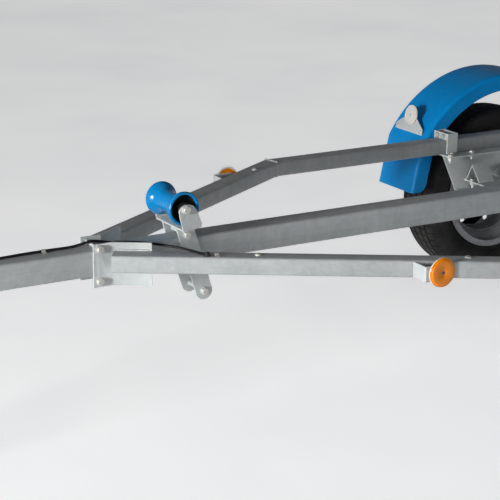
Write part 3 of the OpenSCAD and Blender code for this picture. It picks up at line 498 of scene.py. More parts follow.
def lens(name, base, shade):
    """Moulded lens or prism reflector: a lattice of small prisms under a clear gloss."""
    material, n, bsdf, at = start_material(name, Specular_IOR_Level=0.3, Coat_Weight=0.35,
                                           Coat_Roughness=0.05, Roughness=0.25)
    cells = n.add("ShaderNodeTexVoronoi", {"Vector": at, "Scale": 260.0}, feature="DISTANCE_TO_EDGE")
    prism = n.remap(cells.outputs["Distance"], 0.0, 0.45)
    drift = n.remap(n.noise(at, 30.0, 3.0), 0.3, 0.7, 0.0, 0.25)
    both = n.math("ADD", n.math("MULTIPLY", prism, 0.75), drift)
    n.put(n.mix(both, linear(shade), linear(base)), bsdf.inputs["Base Color"])
    bump(n, bsdf, prism, 0.2, 0.0005)
    return material


def webbing(name, base, shade):
    """Woven strap: fine ribs across the piece."""
    material, n, bsdf, at = start_material(name, Roughness=0.75, Sheen_Weight=0.15)
    ribs = n.add("ShaderNodeTexWave", {"Vector": at, "Scale": 260.0, "Distortion": 0.6},
                 bands_direction="Y")
    n.put(n.mix(ribs.outputs["Fac"], linear(shade), linear(base)), bsdf.inputs["Base Color"])
    bump(n, bsdf, ribs.outputs["Fac"], 0.5, 0.0006)
    return material


BLACK, BLACK_SHADE = (34, 34, 36), (22, 22, 24)
FINISHES = {
    "tube": lambda c: zinc("hot_dip_tube", c.zinc_light, c.zinc_dark, 0.18, 60.0, 0.55),
    "plate": lambda c: zinc("hot_dip_plate", c.plate_light, c.plate_dark, 0.2, 80.0, 0.35),
    "bolt": lambda c: zinc("plated_fixings", (222, 222, 216), (172, 172, 166), 0.55, 240.0, 0.1, 0.8),
    "weld": lambda c: zinc("zinc_over_weld", (204, 206, 205), (156, 160, 160), 0.25, 160.0, 0.1, 0.3),
    "cast": lambda c: zinc("cast_hub", (104, 106, 108), (60, 62, 65), 0.3, 110.0, 0.3, 0.6),
    "rim": lambda c: zinc("rim_silver", (166, 168, 170), (112, 114, 118), 0.4, 130.0, 0.3, 1.0),
    "tyre": lambda c: plastic("tyre_rubber", BLACK, BLACK_SHADE, (58, 58, 59), 0.62, 700.0, 0.3, 0.08, 0.4),
    "rubber": lambda c: plastic("black_rubber", BLACK, BLACK_SHADE, (70, 70, 70), 0.5, 900.0, 0.25, 0.2),
    "guard": lambda c: plastic("blue_mudguard", c.blue_light, c.blue_shade, (36, 140, 208), 0.34, 420.0,
                               0.04, 0.03, 0.25),
    "roller": lambda c: plastic("blue_roller", (8, 132, 192), (4, 114, 174), (60, 160, 214), 0.22, 300.0,
                                0.03, 0.03, 0.3, 0.15),
    "board": lambda c: plastic("blue_light_board", (0, 116, 184), (0, 100, 164), (50, 146, 204), 0.36,
                               500.0, 0.08, 0.06),
    "number": lambda c: plastic("number_plate", (236, 235, 228), (224, 223, 215), (245, 245, 240), 0.3,
                                600.0, 0.05, 0.2),
    "cable": lambda c: plastic("cable_sheath", (26, 26, 28), (16, 16, 18), (60, 60, 62), 0.42, 900.0, 0.2,
                               0.1),
    "white_reflector": lambda c: lens("white_reflector", (236, 234, 228), (206, 204, 198)),
    "amber": lambda c: lens("amber_lens", (255, 158, 0), (236, 126, 0)),
    "red": lambda c: lens("red_lens", (196, 16, 18), (128, 4, 8)),
    "clear": lambda c: lens("clear_lens", (226, 228, 230), (176, 180, 184)),
    "strap": lambda c: webbing("winch_webbing", (52, 78, 128), (30, 48, 88)),
}
made = {}


def finish(name):
    """A material by its short name, made at its first use from the scene's colours."""
    if name not in made:
        made[name] = FINISHES[name](bpy.context.scene.trailer_colours)
    return made[name]


# ---------------------------------------------------------------- pieces


SHARP = 38.0  # degrees past which an edge stays sharp


def settle(mesh, look, body, replaces=(), sharp=SHARP):
    """A mesh as a piece in the scene: smooth but for edges sharper than an angle, with its finish, slot and
    body, and the CAD nodes that it stands for."""
    mesh.polygons.foreach_set("use_smooth", np.ones(len(mesh.polygons), bool))
    mesh.set_sharp_from_angle(angle=math.radians(sharp))
    mesh.update()
    mesh.materials.clear()
    mesh.materials.append(finish(look))
    obj = bpy.data.objects.new(mesh.name, mesh)
    bpy.context.scene.collection.objects.link(obj)
    if replaces:
        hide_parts(*replaces)
    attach(obj, body)
    return obj


def piece(name, shapes, look, body="chassis", replaces=(), sharp=SHARP):
    """One mesh object from several closed shapes."""
    points, quads, caps = joined(shapes)
    mesh = bpy.data.meshes.new(name)
    mesh.from_pydata(points, [], quads.tolist() + [cap.tolist() for cap in caps])
    return settle(mesh, look, body, replaces, sharp)


def softened(node, name, look, body="chassis", edge=0.0009):
    """A CAD node's copy with its corners merged and its edges rounded, in the node's place."""
    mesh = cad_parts[node].data.copy()
    mesh.name = name
    bm = bmesh.new()
    bm.from_mesh(mesh)
    bmesh.ops.remove_doubles(bm, verts=bm.verts, dist=4e-6)
    bmesh.ops.dissolve_limit(bm, angle_limit=math.radians(0.6), verts=bm.verts, edges=bm.edges)
    bm.to_mesh(mesh)
    bm.free()
    bevel = settle(mesh, look, body, (node,)).modifiers.new("rounded_edges", "BEVEL")
    bevel.width, bevel.segments = edge, 2
    bevel.limit_method, bevel.angle_limit = "ANGLE", math.radians(SHARP)
    bevel.use_clamp_overlap = False
    bevel.harden_normals = True


# ---------------------------------------------------------------- stations: metres from the CAD boxes in
# small letters, millimetres in capitals

beam_lo, beam_hi = corners("keel_beam")
rail_lo, rail_hi = corners("rear_rail_left")
tyre_lo, tyre_hi = corners("tyre_left")
guard_lo, guard_hi = corners("mudguard_left")
board_lo, board_hi = corners("light_board")
lamps_lo, lamps_hi = corners("tail_lamps")
wheel = (tyre_lo + tyre_hi) / 2
axle_x = wheel[0]
BEAM_TOP, BEAM_LOW, BEAM_HALF = beam_hi[2] / MM, beam_lo[2] / MM, beam_hi[1] / MM
RAIL_TOP, RAIL_LOW = rail_hi[2] / MM, rail_lo[2] / MM
AXLE = axle_x / MM
RAIL_Y = 666.0
RAIL_W = 60.0
HUB_FACE, BOLT_R, WHEEL_BOLTS = 851.0, 56.0, 5
VALVE_ANGLE = math.radians(22)
KINK = np.array([AXLE + 1028.0, RAIL_Y])
NOSE_RAIL = np.array([AXLE + 1989.0, 74.0])
SLOPE = (RAIL_Y - NOSE_RAIL[1]) / (NOSE_RAIL[0] - KINK[0])
CROSS_TUBES = AXLE - np.array([810.0, 1640.0])
CROSS_TUBE_W = 50.0
ROLLERS = AXLE + np.array([1761.0, 420.0, -660.0, -1740.0])
ROLLER_Z = 674.0
SUPPORTS = {"front": AXLE - 420.0, "rear": AXLE - 1240.0}
SUPPORT_Z, SUPPORT_TILT = 765.0, math.radians(18)
HANGER = AXLE + 60.0
POST = 1810.0
POST_TOP = 1137.0
BOW = np.array([1630.0, 1047.0])
DRUM = np.array([1810.0, 1209.0])
PINION = np.array([1758.0, 1239.0])
GEAR_TEETH, PINION_TEETH = 46, 12
CRANK_LEAN = 190 * np.array([-0.5, 0.87])
JOCKEY = np.array([2260.0, 78.28])
JOCKEY_TRAIL, JOCKEY_R = 34.0, 100.0
CRANK_Z = 877.0
HANDLE = np.array([2712.0, 599.0])
GUARD_X, GUARD_Z, GUARD_R = AXLE - 20.0, 332.0, 442.0
BOARD_TOP, BRACKET_END = 496.0, -2757.0
GUARD_FOOT = 29  # degrees above level where the guard's arc meets its legs
LIPS = {"inner": 0.057, "outer": 0.034}
BOTH = (("left", 1), ("right", -1))


def seats(points, y):
    """Seats on a face of constant Y, from (x, z) pairs."""
    return [(x, y, z) for x, z in points]


def bolted(points, y, size=1.0):
    """Bolts along Y at (x, z) pairs: heads on the face at y and nuts on the face at -y."""
    return placed(HEAD, seats(points, y), Y, size) + placed(NUT, seats(points, -y), -Y, size)


class TRAILER_OT_frame_tubes(Operator):
    """Keel beam and the two kinked side rails as rounded hollow tubes, with end caps and welds"""

    bl_idname = "trailer.frame_tubes"
    bl_label = "Frame tubes"

    def execute(self, context):
        sizes = context.scene.trailer_sizes
        z = (beam_lo[2] + beam_hi[2]) / 2
        piece("beam_tube", [box_tube([(beam_lo[0], 0, z), (beam_hi[0], 0, z)], beam_hi[1] - beam_lo[1],
                                     beam_hi[2] - beam_lo[2], sizes.tube_corner, 0.004)],
              "tube", replaces=("keel_beam",))
        z = (rail_lo[2] + rail_hi[2]) / 2
        path = np.array([(rail_lo[0], RAIL_Y * MM, z), (*KINK * MM, z), (*NOSE_RAIL * MM, z)])
        for side, flip in BOTH:
            tube = box_tube(path * [1, flip, 1], RAIL_W * MM, rail_hi[2] - rail_lo[2],
                            sizes.tube_corner * 0.75, 0.003)
            piece("rail_tube_" + side, [tube], "tube", replaces=("front_rail_" + side, "rear_rail_" + side))
        for node in ("cross_tubes", "axle_tube"):
            softened(node, node + "_rounded", "tube", edge=0.003)
        self.end_plug()
        self.welds()
        return {"FINISHED"}

    def end_plug(self):
        """Plastic plug in the beam's open rear end: a rounded lid over a smaller body."""
        rear = np.array([beam_lo[0], 0, (beam_lo[2] + beam_hi[2]) / 2])
        w, h = BEAM_HALF * MM, (beam_hi[2] - beam_lo[2]) / 2
        shapes = []
        for gap, corner, ahead, thick, edge in ((0, 0.009, 0.0002, 0.004, 0.0018),
                                                (0.005, 0.004, 0.018, 0.018, 0.0008)):
            outline = rounded(box_outline(gap - w, gap - h, w - gap, h - gap), corner)
            shapes.append(plate(outline, rear + X * ahead, -Y, Z, thick, edge))
        piece("tube_end_plug", shapes, "rubber")

    def welds(self):
        """Beads round the kinks, along the clamp wings and round the cross tubes."""
        lo, hi, half = rail_lo[2], rail_hi[2], RAIL_W / 2
        mitre = half * math.tan(math.atan(SLOPE) / 2)
        inner, outer = (KINK - [mitre, half]) * MM, (KINK + [mitre, half]) * MM
        shapes = [weld((*inner, lo + 0.004), (*inner, hi - 0.004), 0.0045),
                  weld((*inner, hi), (*outer, hi), 0.0032), weld((*inner, lo), (*outer, lo), 0.0032),
                  weld((*outer, lo + 0.004), (*outer, hi - 0.004), 0.0028)]
        d = unit(KINK - NOSE_RAIL)
        outwards = np.array([d[1], -d[0]])
        for z in (lo, hi):
            a, b = ((NOSE_RAIL + d * along - outwards * (half + 1)) * MM for along in (6, 104))
            shapes.append(weld((*a, z), (*b, z), 0.0042))
        for x in CROSS_TUBES:
            around = box_outline(x * MM, lo, (x + CROSS_TUBE_W) * MM, hi)
            around = [around[k] for k in (3, 2, 1, 0, 3)]
            for y in (beam_hi[1], (RAIL_Y - half) * MM):
                for a, b in zip(around, around[1:]):
                    shapes.append(weld((a[0], y, a[1]), (b[0], y, b[1]), 0.0034))
        piece("weld_beads", mirrored(shapes), "weld", sharp=60)


class TRAILER_OT_pressed_plates(Operator):
    """Clamps, hangers, brackets, cradles and supports with rounded edges"""

    bl_idname = "trailer.pressed_plates"
    bl_label = "Pressed plates"

    def execute(self, context):
        edge = context.scene.trailer_sizes.plate_edge
        for node in ("front_clamps", "axle_plates", "axle_centre_bracket", "mudguard_brackets",
                     "front_roller_cradle", "keel_roller_cradles", "side_supports"):
            softened(node, node + "_pressed", "plate", edge=edge)
        for node, ending, look, body, width in (
            ("winch_post", "rounded", "tube", "chassis", 0.0025),
            ("winch_frame", "pressed", "plate", "chassis", edge),
            ("swing_arms", "cast", "cast", "chassis", 0.003),
            ("coupling_head", "pressed", "plate", "chassis", 0.0016),
            ("coupling_handle", "pressed", "plate", "coupling_handle", 0.002),
        ):
            softened(node, node + "_" + ending, look, body, width)
        softened("jockey_clamp", "jockey_tube_clamp", "tube", edge=edge)
        softened("jockey_leg", "jockey_leg_tube", "bolt", "jockey_leg", edge)
        softened("jockey_fork", "jockey_fork_pressed", "plate", "jockey_fork", edge)
        return {"FINISHED"}


class TRAILER_OT_tyres(Operator):
    """Road tyres with ribs, sipes and moulded sidewall rings"""

    bl_idname = "trailer.tyres"
    bl_label = "Tyres"

    def execute(self, context):
        sizes = context.scene.trailer_sizes
        for side, flip in BOTH:
            piece("road_tyre_" + side, [self.tyre(sizes, wheel * [1, flip, 1])], "tyre", "wheel_" + side,
                  ("tyre_" + side,), sharp=30)
        return {"FINISHED"}

    @staticmethod
    def tyre(sizes, centre):
        """Radius and offset along a section turned about the axle. The section is a smooth curve through
        bead, sidewall and shoulder, with ridges added as bell curves. Ribs are cut by taking a depth off the
        radius where the offset lies in a groove, or where the turn lies in a sipe."""
        wall = smooth_path(mm((190.8, 62.5), (203.5, 63), (215, 69), (230, 81.5), (250, 92.5),
                              (268, 94.8), (286, 92.5), (300, 86), (308.5, 78)), 5)
        for radius, width in ((0.2260, 0.0016), (0.2620, 0.0011), (0.2900, 0.0020)):
            wall[:, 1] += 0.0011 * np.exp(-((wall[:, 0] - radius) / width) ** 2)
        wall[:, 1] = np.minimum(wall[:, 1], 0.0950)
        cuts = np.array([-0.050, -0.018, 0.018, 0.050])
        half, lip = 0.0036, 0.0006
        steps = (cuts[:, None] + [-half - lip, -half, half, half + lip]).ravel()
        rib = np.array([-0.072, -0.062, -0.034, -0.006, 0.006, 0.034, 0.062, 0.072])
        across_tread = np.sort(np.concatenate([steps, rib]))
        crown = 0.3200 - 0.0042 * (across_tread / 0.072) ** 2 - 0.0045 * np.clip(
            (np.abs(across_tread) - 0.062) / 0.01, 0, 1)
        tread = np.stack([crown, across_tread], -1)
        right = wall * [1, -1]
        liner = both_ways(mm((190.8, 45), (218, 54), (250, 79), (270, 81), (296, 66), (301, 40)))
        section = np.concatenate([right, tread, wall[::-1], liner])
        count = sizes.tread_blocks
        phases = np.array([0.0, 0.05, 0.07, 0.17, 0.19, 0.35, 0.5, 0.55, 0.57, 0.67, 0.69, 0.85])
        turn = ((np.arange(count)[:, None] + phases) * TAU / count).ravel()
        phase = np.tile(phases, count)
        r = np.repeat(section[:, :1], len(turn), 1)
        y = section[:, 1]
        in_tread = np.zeros(len(section), bool)
        in_tread[len(right):len(right) + len(tread)] = True
        groove = (np.abs(y[:, None] - cuts) <= half + 1e-6).any(1) & in_tread
        shoulder = in_tread & (np.abs(y) > 0.054)
        middle = in_tread & (np.abs(y) < 0.046) & ~groove
        early, late = (phase > 0.06) & (phase < 0.18), (phase > 0.56) & (phase < 0.68)
        r -= 0.0072 * groove[:, None]
        r -= 0.0060 * (shoulder[:, None] & early) + 0.0035 * (middle[:, None] & late)
        top = (np.abs(y) > 0.0725) & (section[:, 0] > 0.300)
        r -= 0.0030 * (top[:, None] & early)
        points = np.stack([r * np.sin(turn), np.broadcast_to(y[:, None], r.shape), r * np.cos(turn)], -1)
        return closed((points + centre).reshape(-1, 3), grid_faces(len(section), len(turn), wrap_rows=True))


class TRAILER_OT_wheels(Operator):
    """Rims, hubs, wheel bolts, grease caps and valves"""

    bl_idname = "trailer.wheels"
    bl_label = "Wheels"

    def execute(self, context):
        for side, flip in BOTH:
            body = "wheel_" + side
            softened("rim_" + side, "rim_pressed_" + side, "rim", body, edge=0.0012)
            out = Y * flip
            hub_face = np.array([wheel[0], HUB_FACE * MM * flip, wheel[2]])
            hub = mm((17.2, -86), (40, -86), (55, -83), (58, -78), (58, -20), (62, -15), (74, -14),
                     (76, -12), (76, -2), (74, 0), (34, 0), (32, 3), (31.8, 12), (17.2, 12))
            piece("hub_casting_" + side, [turned(hub, hub_face, out, 64, ring=True)], "cast", body,
                  ("hub_" + side,))
            cap = mm((30.5, 8), (32.5, 10), (32.5, 14), (30, 15.5), (30, 26), (28.5, 30.5), (24, 33),
                     (10, 33.8), (2, 34))
            around = wheel[[0, 2]] / MM + circle(BOLT_R, WHEEL_BOLTS)
            bolts = placed(HEAD, seats(around, (HUB_FACE + 5) * flip), out, 1.25)
            piece("grease_cap_and_bolts_" + side, [turned(cap, hub_face, out, 48)] + bolts, "bolt", body)
            c, s = math.cos(VALVE_ANGLE), math.sin(VALVE_ANGLE)
            root = wheel * [1, flip, 1] + [0.176 * c, 0.046 * flip, 0.176 * s]
            lean = unit(np.array([-0.55 * c, 0.75 * flip, -0.55 * s]))
            stem = mm((6, -4), (6, 10), (4.2, 14), (4.2, 30), (4.8, 31), (4.8, 40), (3, 41.5))
            piece("tyre_valve_" + side, [turned(stem, root, lean, 20)], "rubber", body)
        return {"FINISHED"}


class TRAILER_OT_mudguards(Operator):
    """Blue mudguards with a rounded section and rounded feet"""

    bl_idname = "trailer.mudguards"
    bl_label = "Mudguards"

    def execute(self, context):
        sizes = context.scene.trailer_sizes
        for side, flip in BOTH:
            points, quads, caps = self.guard(sizes)
            shape = closed(points * [1, flip, 1], quads, caps)
            piece("mudguard_shell_" + side, [shape], "guard", "chassis", ("mudguard_" + side,), sharp=50)
        return {"FINISHED"}

    @staticmethod
    def guard(sizes):
        """A channel section carried over the wheel. The path is a straight leg, an arc and a straight leg;
        (out_x, out_z) points away from the wheel and turns from level on the legs to radial on the arc. The
        section runs up one lip, round a corner, over the crown and down the other lip, outside and then
        inside. Near each foot the lips shorten as a quarter circle, so that their corners are round."""
        centre, radius = np.array([GUARD_X, GUARD_Z]) * MM, GUARD_R * MM
        low, lean, thick, round_foot, turn_in = guard_lo[2], 0.038, 0.0034, 0.026, 14
        end = 180 - GUARD_FOOT
        top = centre[1] + radius * math.sin(math.radians(GUARD_FOOT))
        leg = radius * math.cos(math.radians(GUARD_FOOT))
        drop = np.concatenate([np.linspace(0, 0.03, 9), np.linspace(0.04, 0.15, 6), [0.17]])
        drop = drop[drop < top - low - 0.004]
        leg_z = low + drop
        leg_x = leg + lean * (top - leg_z) / (top - low)
        t = np.radians(np.linspace(GUARD_FOOT, end, 62))
        x = np.concatenate([leg_x, radius * np.cos(t), -leg_x[::-1]])
        z = np.concatenate([leg_z, centre[1] + radius * np.sin(t), leg_z[::-1]])
        ease = (np.clip((np.degrees(t) - GUARD_FOOT) / turn_in, 0, 1)
                * np.clip((end - np.degrees(t)) / turn_in, 0, 1))
        angle = np.where(t < math.pi / 2, t * ease, math.pi - (math.pi - t) * ease)
        out_x = np.concatenate([np.ones(len(leg_z)), np.cos(angle), -np.ones(len(leg_z))])
        out_z = np.concatenate([np.zeros(len(leg_z)), np.sin(angle), np.zeros(len(leg_z))])
        foot = np.minimum(z - low, round_foot)
        short = round_foot - np.sqrt(np.maximum(round_foot**2 - (round_foot - foot) ** 2, 0))
        y0, y1 = guard_lo[1], guard_hi[1]
        c = sizes.guard_corner
        arc = np.linspace(0, math.pi / 2, 8)

        def section(gap, r):
            """(y, depth below the crown) of one skin."""
            a = np.stack([y0 + gap + r - r * np.cos(arc), gap + r - r * np.sin(arc)], -1)
            b = np.stack([y1 - gap - r + r * np.sin(arc), gap + r - r * np.cos(arc)], -1)
            flat = np.linspace(y0 + gap + r, y1 - gap - r, 8)[1:-1]
            crown = np.stack([flat, np.full(6, gap)], -1)
            lips = np.array([0.999, 0.75, 0.5, 0.25])[:, None]
            first = np.array([[y0 + gap, LIPS["inner"]]]) * lips + (1 - lips) * a[0]
            last = (np.array([[y1 - gap, LIPS["outer"]]]) * lips + (1 - lips) * b[-1])[::-1]
            return np.concatenate([first, a, crown, b, last])

        ring = np.concatenate([section(0.0, c), section(thick, c - thick)[::-1]])
        y, depth = ring[:, 0], ring[:, 1]
        full = np.where(y < (y0 + y1) / 2, LIPS["inner"], LIPS["outer"])
        share = np.clip((depth - c) / (full - c), 0, 1)
        depth = depth[None, :] - short[:, None] * share[None, :]
        shape = (len(x), len(ring))
        points = np.stack([np.broadcast_to((centre[0] + x)[:, None], shape) - depth * out_x[:, None],
                           np.broadcast_to(y, shape),
                           np.broadcast_to(z[:, None], shape) - depth * out_z[:, None]], -1)
        n, m = shape
        return closed(points.reshape(-1, 3), grid_faces(n, m), ends(n, m))


class TRAILER_OT_rollers(Operator):
    """Blue keel, side and bow rollers with hollow ends; a black insert in each keel roller's ends is painted
    shade in the hollows
    """

    bl_idname = "trailer.rollers"
    bl_label = "Rollers"

    def execute(self, context):
        outer = smooth_path(both_ways(mm((47, -75), (49, -71.5), (48.8, -64), (44, -54), (37, -44),
                                         (32.2, -30), (31, -12))), 4)
        hollow = both_ways(mm((42.5, 75), (41.2, 73.5), (40.5, 66), (30, 45), (18, 40), (16.5, 42),
                              (16, 75), (8.3, 75)))
        profile = np.concatenate([outer, hollow])
        # Painted shade: a black rubber insert lines each keel roller's hollow ends and stands in for the
        # shade inside them.
        inner_profile = mm((8.4, 75.6), (17.6, 75.6), (17.8, 43.8), (28.2, 48), (38.8, 65.6),
                  (39.8, 65.2), (29, 46.8), (17, 42.4), (16.7, 75.2), (8.4, 75.2))
        for k, x in enumerate(ROLLERS, 1):
            body, centre = f"keel_roller_{k}", (x * MM, 0, ROLLER_Z * MM)
            piece(f"keel_roller_moulding_{k}", [turned(profile, centre, Y, 72, ring=True)], "roller", body,
                  (body,), sharp=45)
            # The black insert in both hollow ends, as painted shade.
            piece(f"keel_roller_shade_insert_{k}", mirrored([turned(inner_profile, centre, Y, 48, ring=True)]), "rubber", body)
        profile = both_ways(mm((8.3, -35), (16, -35), (17, -26), (41, -24), (43, -34), (46.5, -35),
                               (52, -31), (54.5, -23), (55, -8), (54.2, -4)))
        for place, x in SUPPORTS.items():
            for side, flip in BOTH:
                name = f"side_roller_{place}_{side}"
                axis = np.array([0, math.cos(SUPPORT_TILT), flip * math.sin(SUPPORT_TILT)])
                centre = np.array([x, RAIL_Y * flip, SUPPORT_Z]) * MM
                piece(name + "_moulding", [turned(profile, centre, axis, 64, ring=True)], "roller", name,
                      (name,), sharp=40)
        vee = smooth_path(mm((45, 46), (44, 40), (37, 28), (27, 12), (24, 0)), 4)
        upper = np.concatenate([mm((8.3, 55), (43, 55), (45, 53)), vee])
        profile = np.concatenate([upper, upper[-2::-1] * [1, -1]])
        piece("bow_roller_moulding", [turned(profile, (BOW[0] * MM, 0, BOW[1] * MM), Y, 72, ring=True)],
              "roller", "bow_roller", ("bow_roller",), sharp=45)
        return {"FINISHED"}


def grip(start, axis, length, radius, steps=40):
    """Hand grip: its radius swells in the middle as a sine and carries shallow rings."""
    h = np.linspace(0, length, steps)
    r = radius * (0.84 + 0.16 * np.sin(h / length * math.pi)) - 0.0006 * (np.arange(steps) % 3 == 0)
    r[0] = r[-1] = radius * 0.7
    return turned(np.stack([r, h], -1), start, axis, 32)


class TRAILER_OT_winch(Operator):
    """Winch drum with its gear and wound strap, and the crank with its pinion and grip"""

    bl_idname = "trailer.winch"
    bl_label = "Winch"

    def execute(self, context):
        drum = np.array([DRUM[0] * MM, 0, DRUM[1] * MM])
        pinion = np.array([PINION[0] * MM, 0, PINION[1] * MM])
        inner_profile = both_ways(mm((6, -58), (8, -56), (8, -45), (24, -45)))
        flange = mm((45, 0), (46, 1), (46, 3), (45, 4))
        shapes = [turned(inner_profile, drum, Y, 48), turned(flange, drum - [0, 0.045, 0], Y, 64),
                  toothed(drum + [0, 0.037, 0], Y, GEAR_TEETH, 0.0450, 0.0475, 0.008)]
        piece("winch_drum_and_gear", shapes, "bolt", "winch_drum", ("winch_drum",), sharp=35)
        layers = np.linspace(0.0245, 0.040, 11)
        ridge = np.where(np.arange(11) % 2, 0.0, 0.0009)
        side = np.stack([layers, 0.026 - ridge], -1)
        pack = np.concatenate([side * [1, -1], side[::-1]])
        hook = smooth_path(mm((0, 0), (12, 4), (22, 0), (24, -12), (14, -18), (2, -14)), 6)
        path = np.stack([drum[0] - 0.012 + hook[:, 0] * 0.9, 0.004 + hook[:, 1],
                         np.full(len(hook), drum[2] + 0.0425)], -1)
        piece("winch_strap_pack", [turned(pack, drum, Y, 64, ring=True)], "strap", "winch_drum")
        piece("strap_hook", [carried(path, circle(0.0034, 10), Z)], "bolt", "winch_drum")
        spindle = mm((6, -58), (8, -56), (8, 76), (6, 78))
        tip = PINION + CRANK_LEAN
        arm = bar_outline(PINION * MM, tip * MM, 0.028)
        shapes = [turned(spindle, pinion, Y, 24),
                  toothed(pinion + [0, 0.035, 0], Y, PINION_TEETH, 0.0100, 0.0124, 0.011),
                  plate(arm, (0, 0.078, 0), X, Z, 0.008, 0.002)]
        shapes += placed(NUT, [(PINION[0], 78, PINION[1])], Y, 1.2)
        piece("winch_crank_arm", shapes, "bolt", "winch_crank", ("winch_crank",), sharp=35)
        piece("winch_crank_grip", [grip((tip[0] * MM, 0.0785, tip[1] * MM), Y, 0.098, 0.0150)], "rubber",
              "winch_crank")
        return {"FINISHED"}


class TRAILER_OT_jockey(Operator):
    """Jockey wheel, its crank and the clamp's lever"""

    bl_idname = "trailer.jockey"
    bl_label = "Jockey wheel"

    def execute(self, context):
        centre = np.array([JOCKEY[0] - JOCKEY_TRAIL, JOCKEY[1], JOCKEY_R]) * MM
        tyre = both_ways(mm((69, -22), (86, -24.6), (92, -22.5), (97.5, -16), (99.5, -10.5), (98, -9.5),
                            (98, -6.5), (100, -5.5)))
        piece("jockey_tyre", [turned(tyre, centre, Y, 72, ring=True)], "tyre", "jockey_wheel",
              ("jockey_wheel",))
        rim = both_ways(mm((6.3, -24.5), (20, -24.5), (22, -22.5), (22.5, -10), (30, -8), (60, -8),
                           (66, -12), (68, -23.5), (71, -23)))
        outline = rounded(box_outline(0.024, -0.002, 0.066, 0.002), 0.0009, 2)
        ribs = [plate(outline, centre + [0, 0.013, 0], X * math.cos(a) + Z * math.sin(a),
                      Z * math.cos(a) - X * math.sin(a), 0.0259, 0.0004)
                for a in np.arange(6) * TAU / 6]
        piece("jockey_rim", [turned(rim, centre, Y, 72, ring=True)] + ribs, "rim", "jockey_wheel")
        x, y = JOCKEY * MM
        top, reach = CRANK_Z * MM, 0.100
        washer = mm((20.5, 0.3), (22, 1.8), (22, 6.2), (20.5, 8.3))
        shapes = [turned(mm((8, -14), (8, 24), (7, 26)), (x, y, top), Z, 24),
                  turned(washer, (x, y, top), Z, 40),
                  plate(bar_outline((x, y), (x, y - reach), 0.024), (0, 0, top + 0.018), X, Y, 0.008, 0.002)]
        shapes += placed(HEAD, [(*JOCKEY, CRANK_Z + 26)], Z, 1.1)
        piece("jockey_crank_arm", shapes, "bolt", "jockey_crank", ("jockey_crank",))
        piece("jockey_crank_grip", [grip((x, y - reach, top + 0.0265), Z, 0.087, 0.0120)], "rubber",
              "jockey_crank")
        screw, lever = np.array([2316.0, JOCKEY[1], 539.5]), np.array([2346.0, JOCKEY[1], 539.5])
        shapes = [turned(mm((5.5, 0), (6, 1), (6, 34), (5, 36)), screw * MM, X, 20),
                  turned(mm((4, -38), (5.2, -36), (4.8, 0), (5.2, 36), (4, 38)), lever * MM, Z, 20)]
        shapes += placed(NUT[:8], [screw + 2 * X], X)
        piece("jockey_clamp_lever", shapes, "bolt")
        return {"FINISHED"}


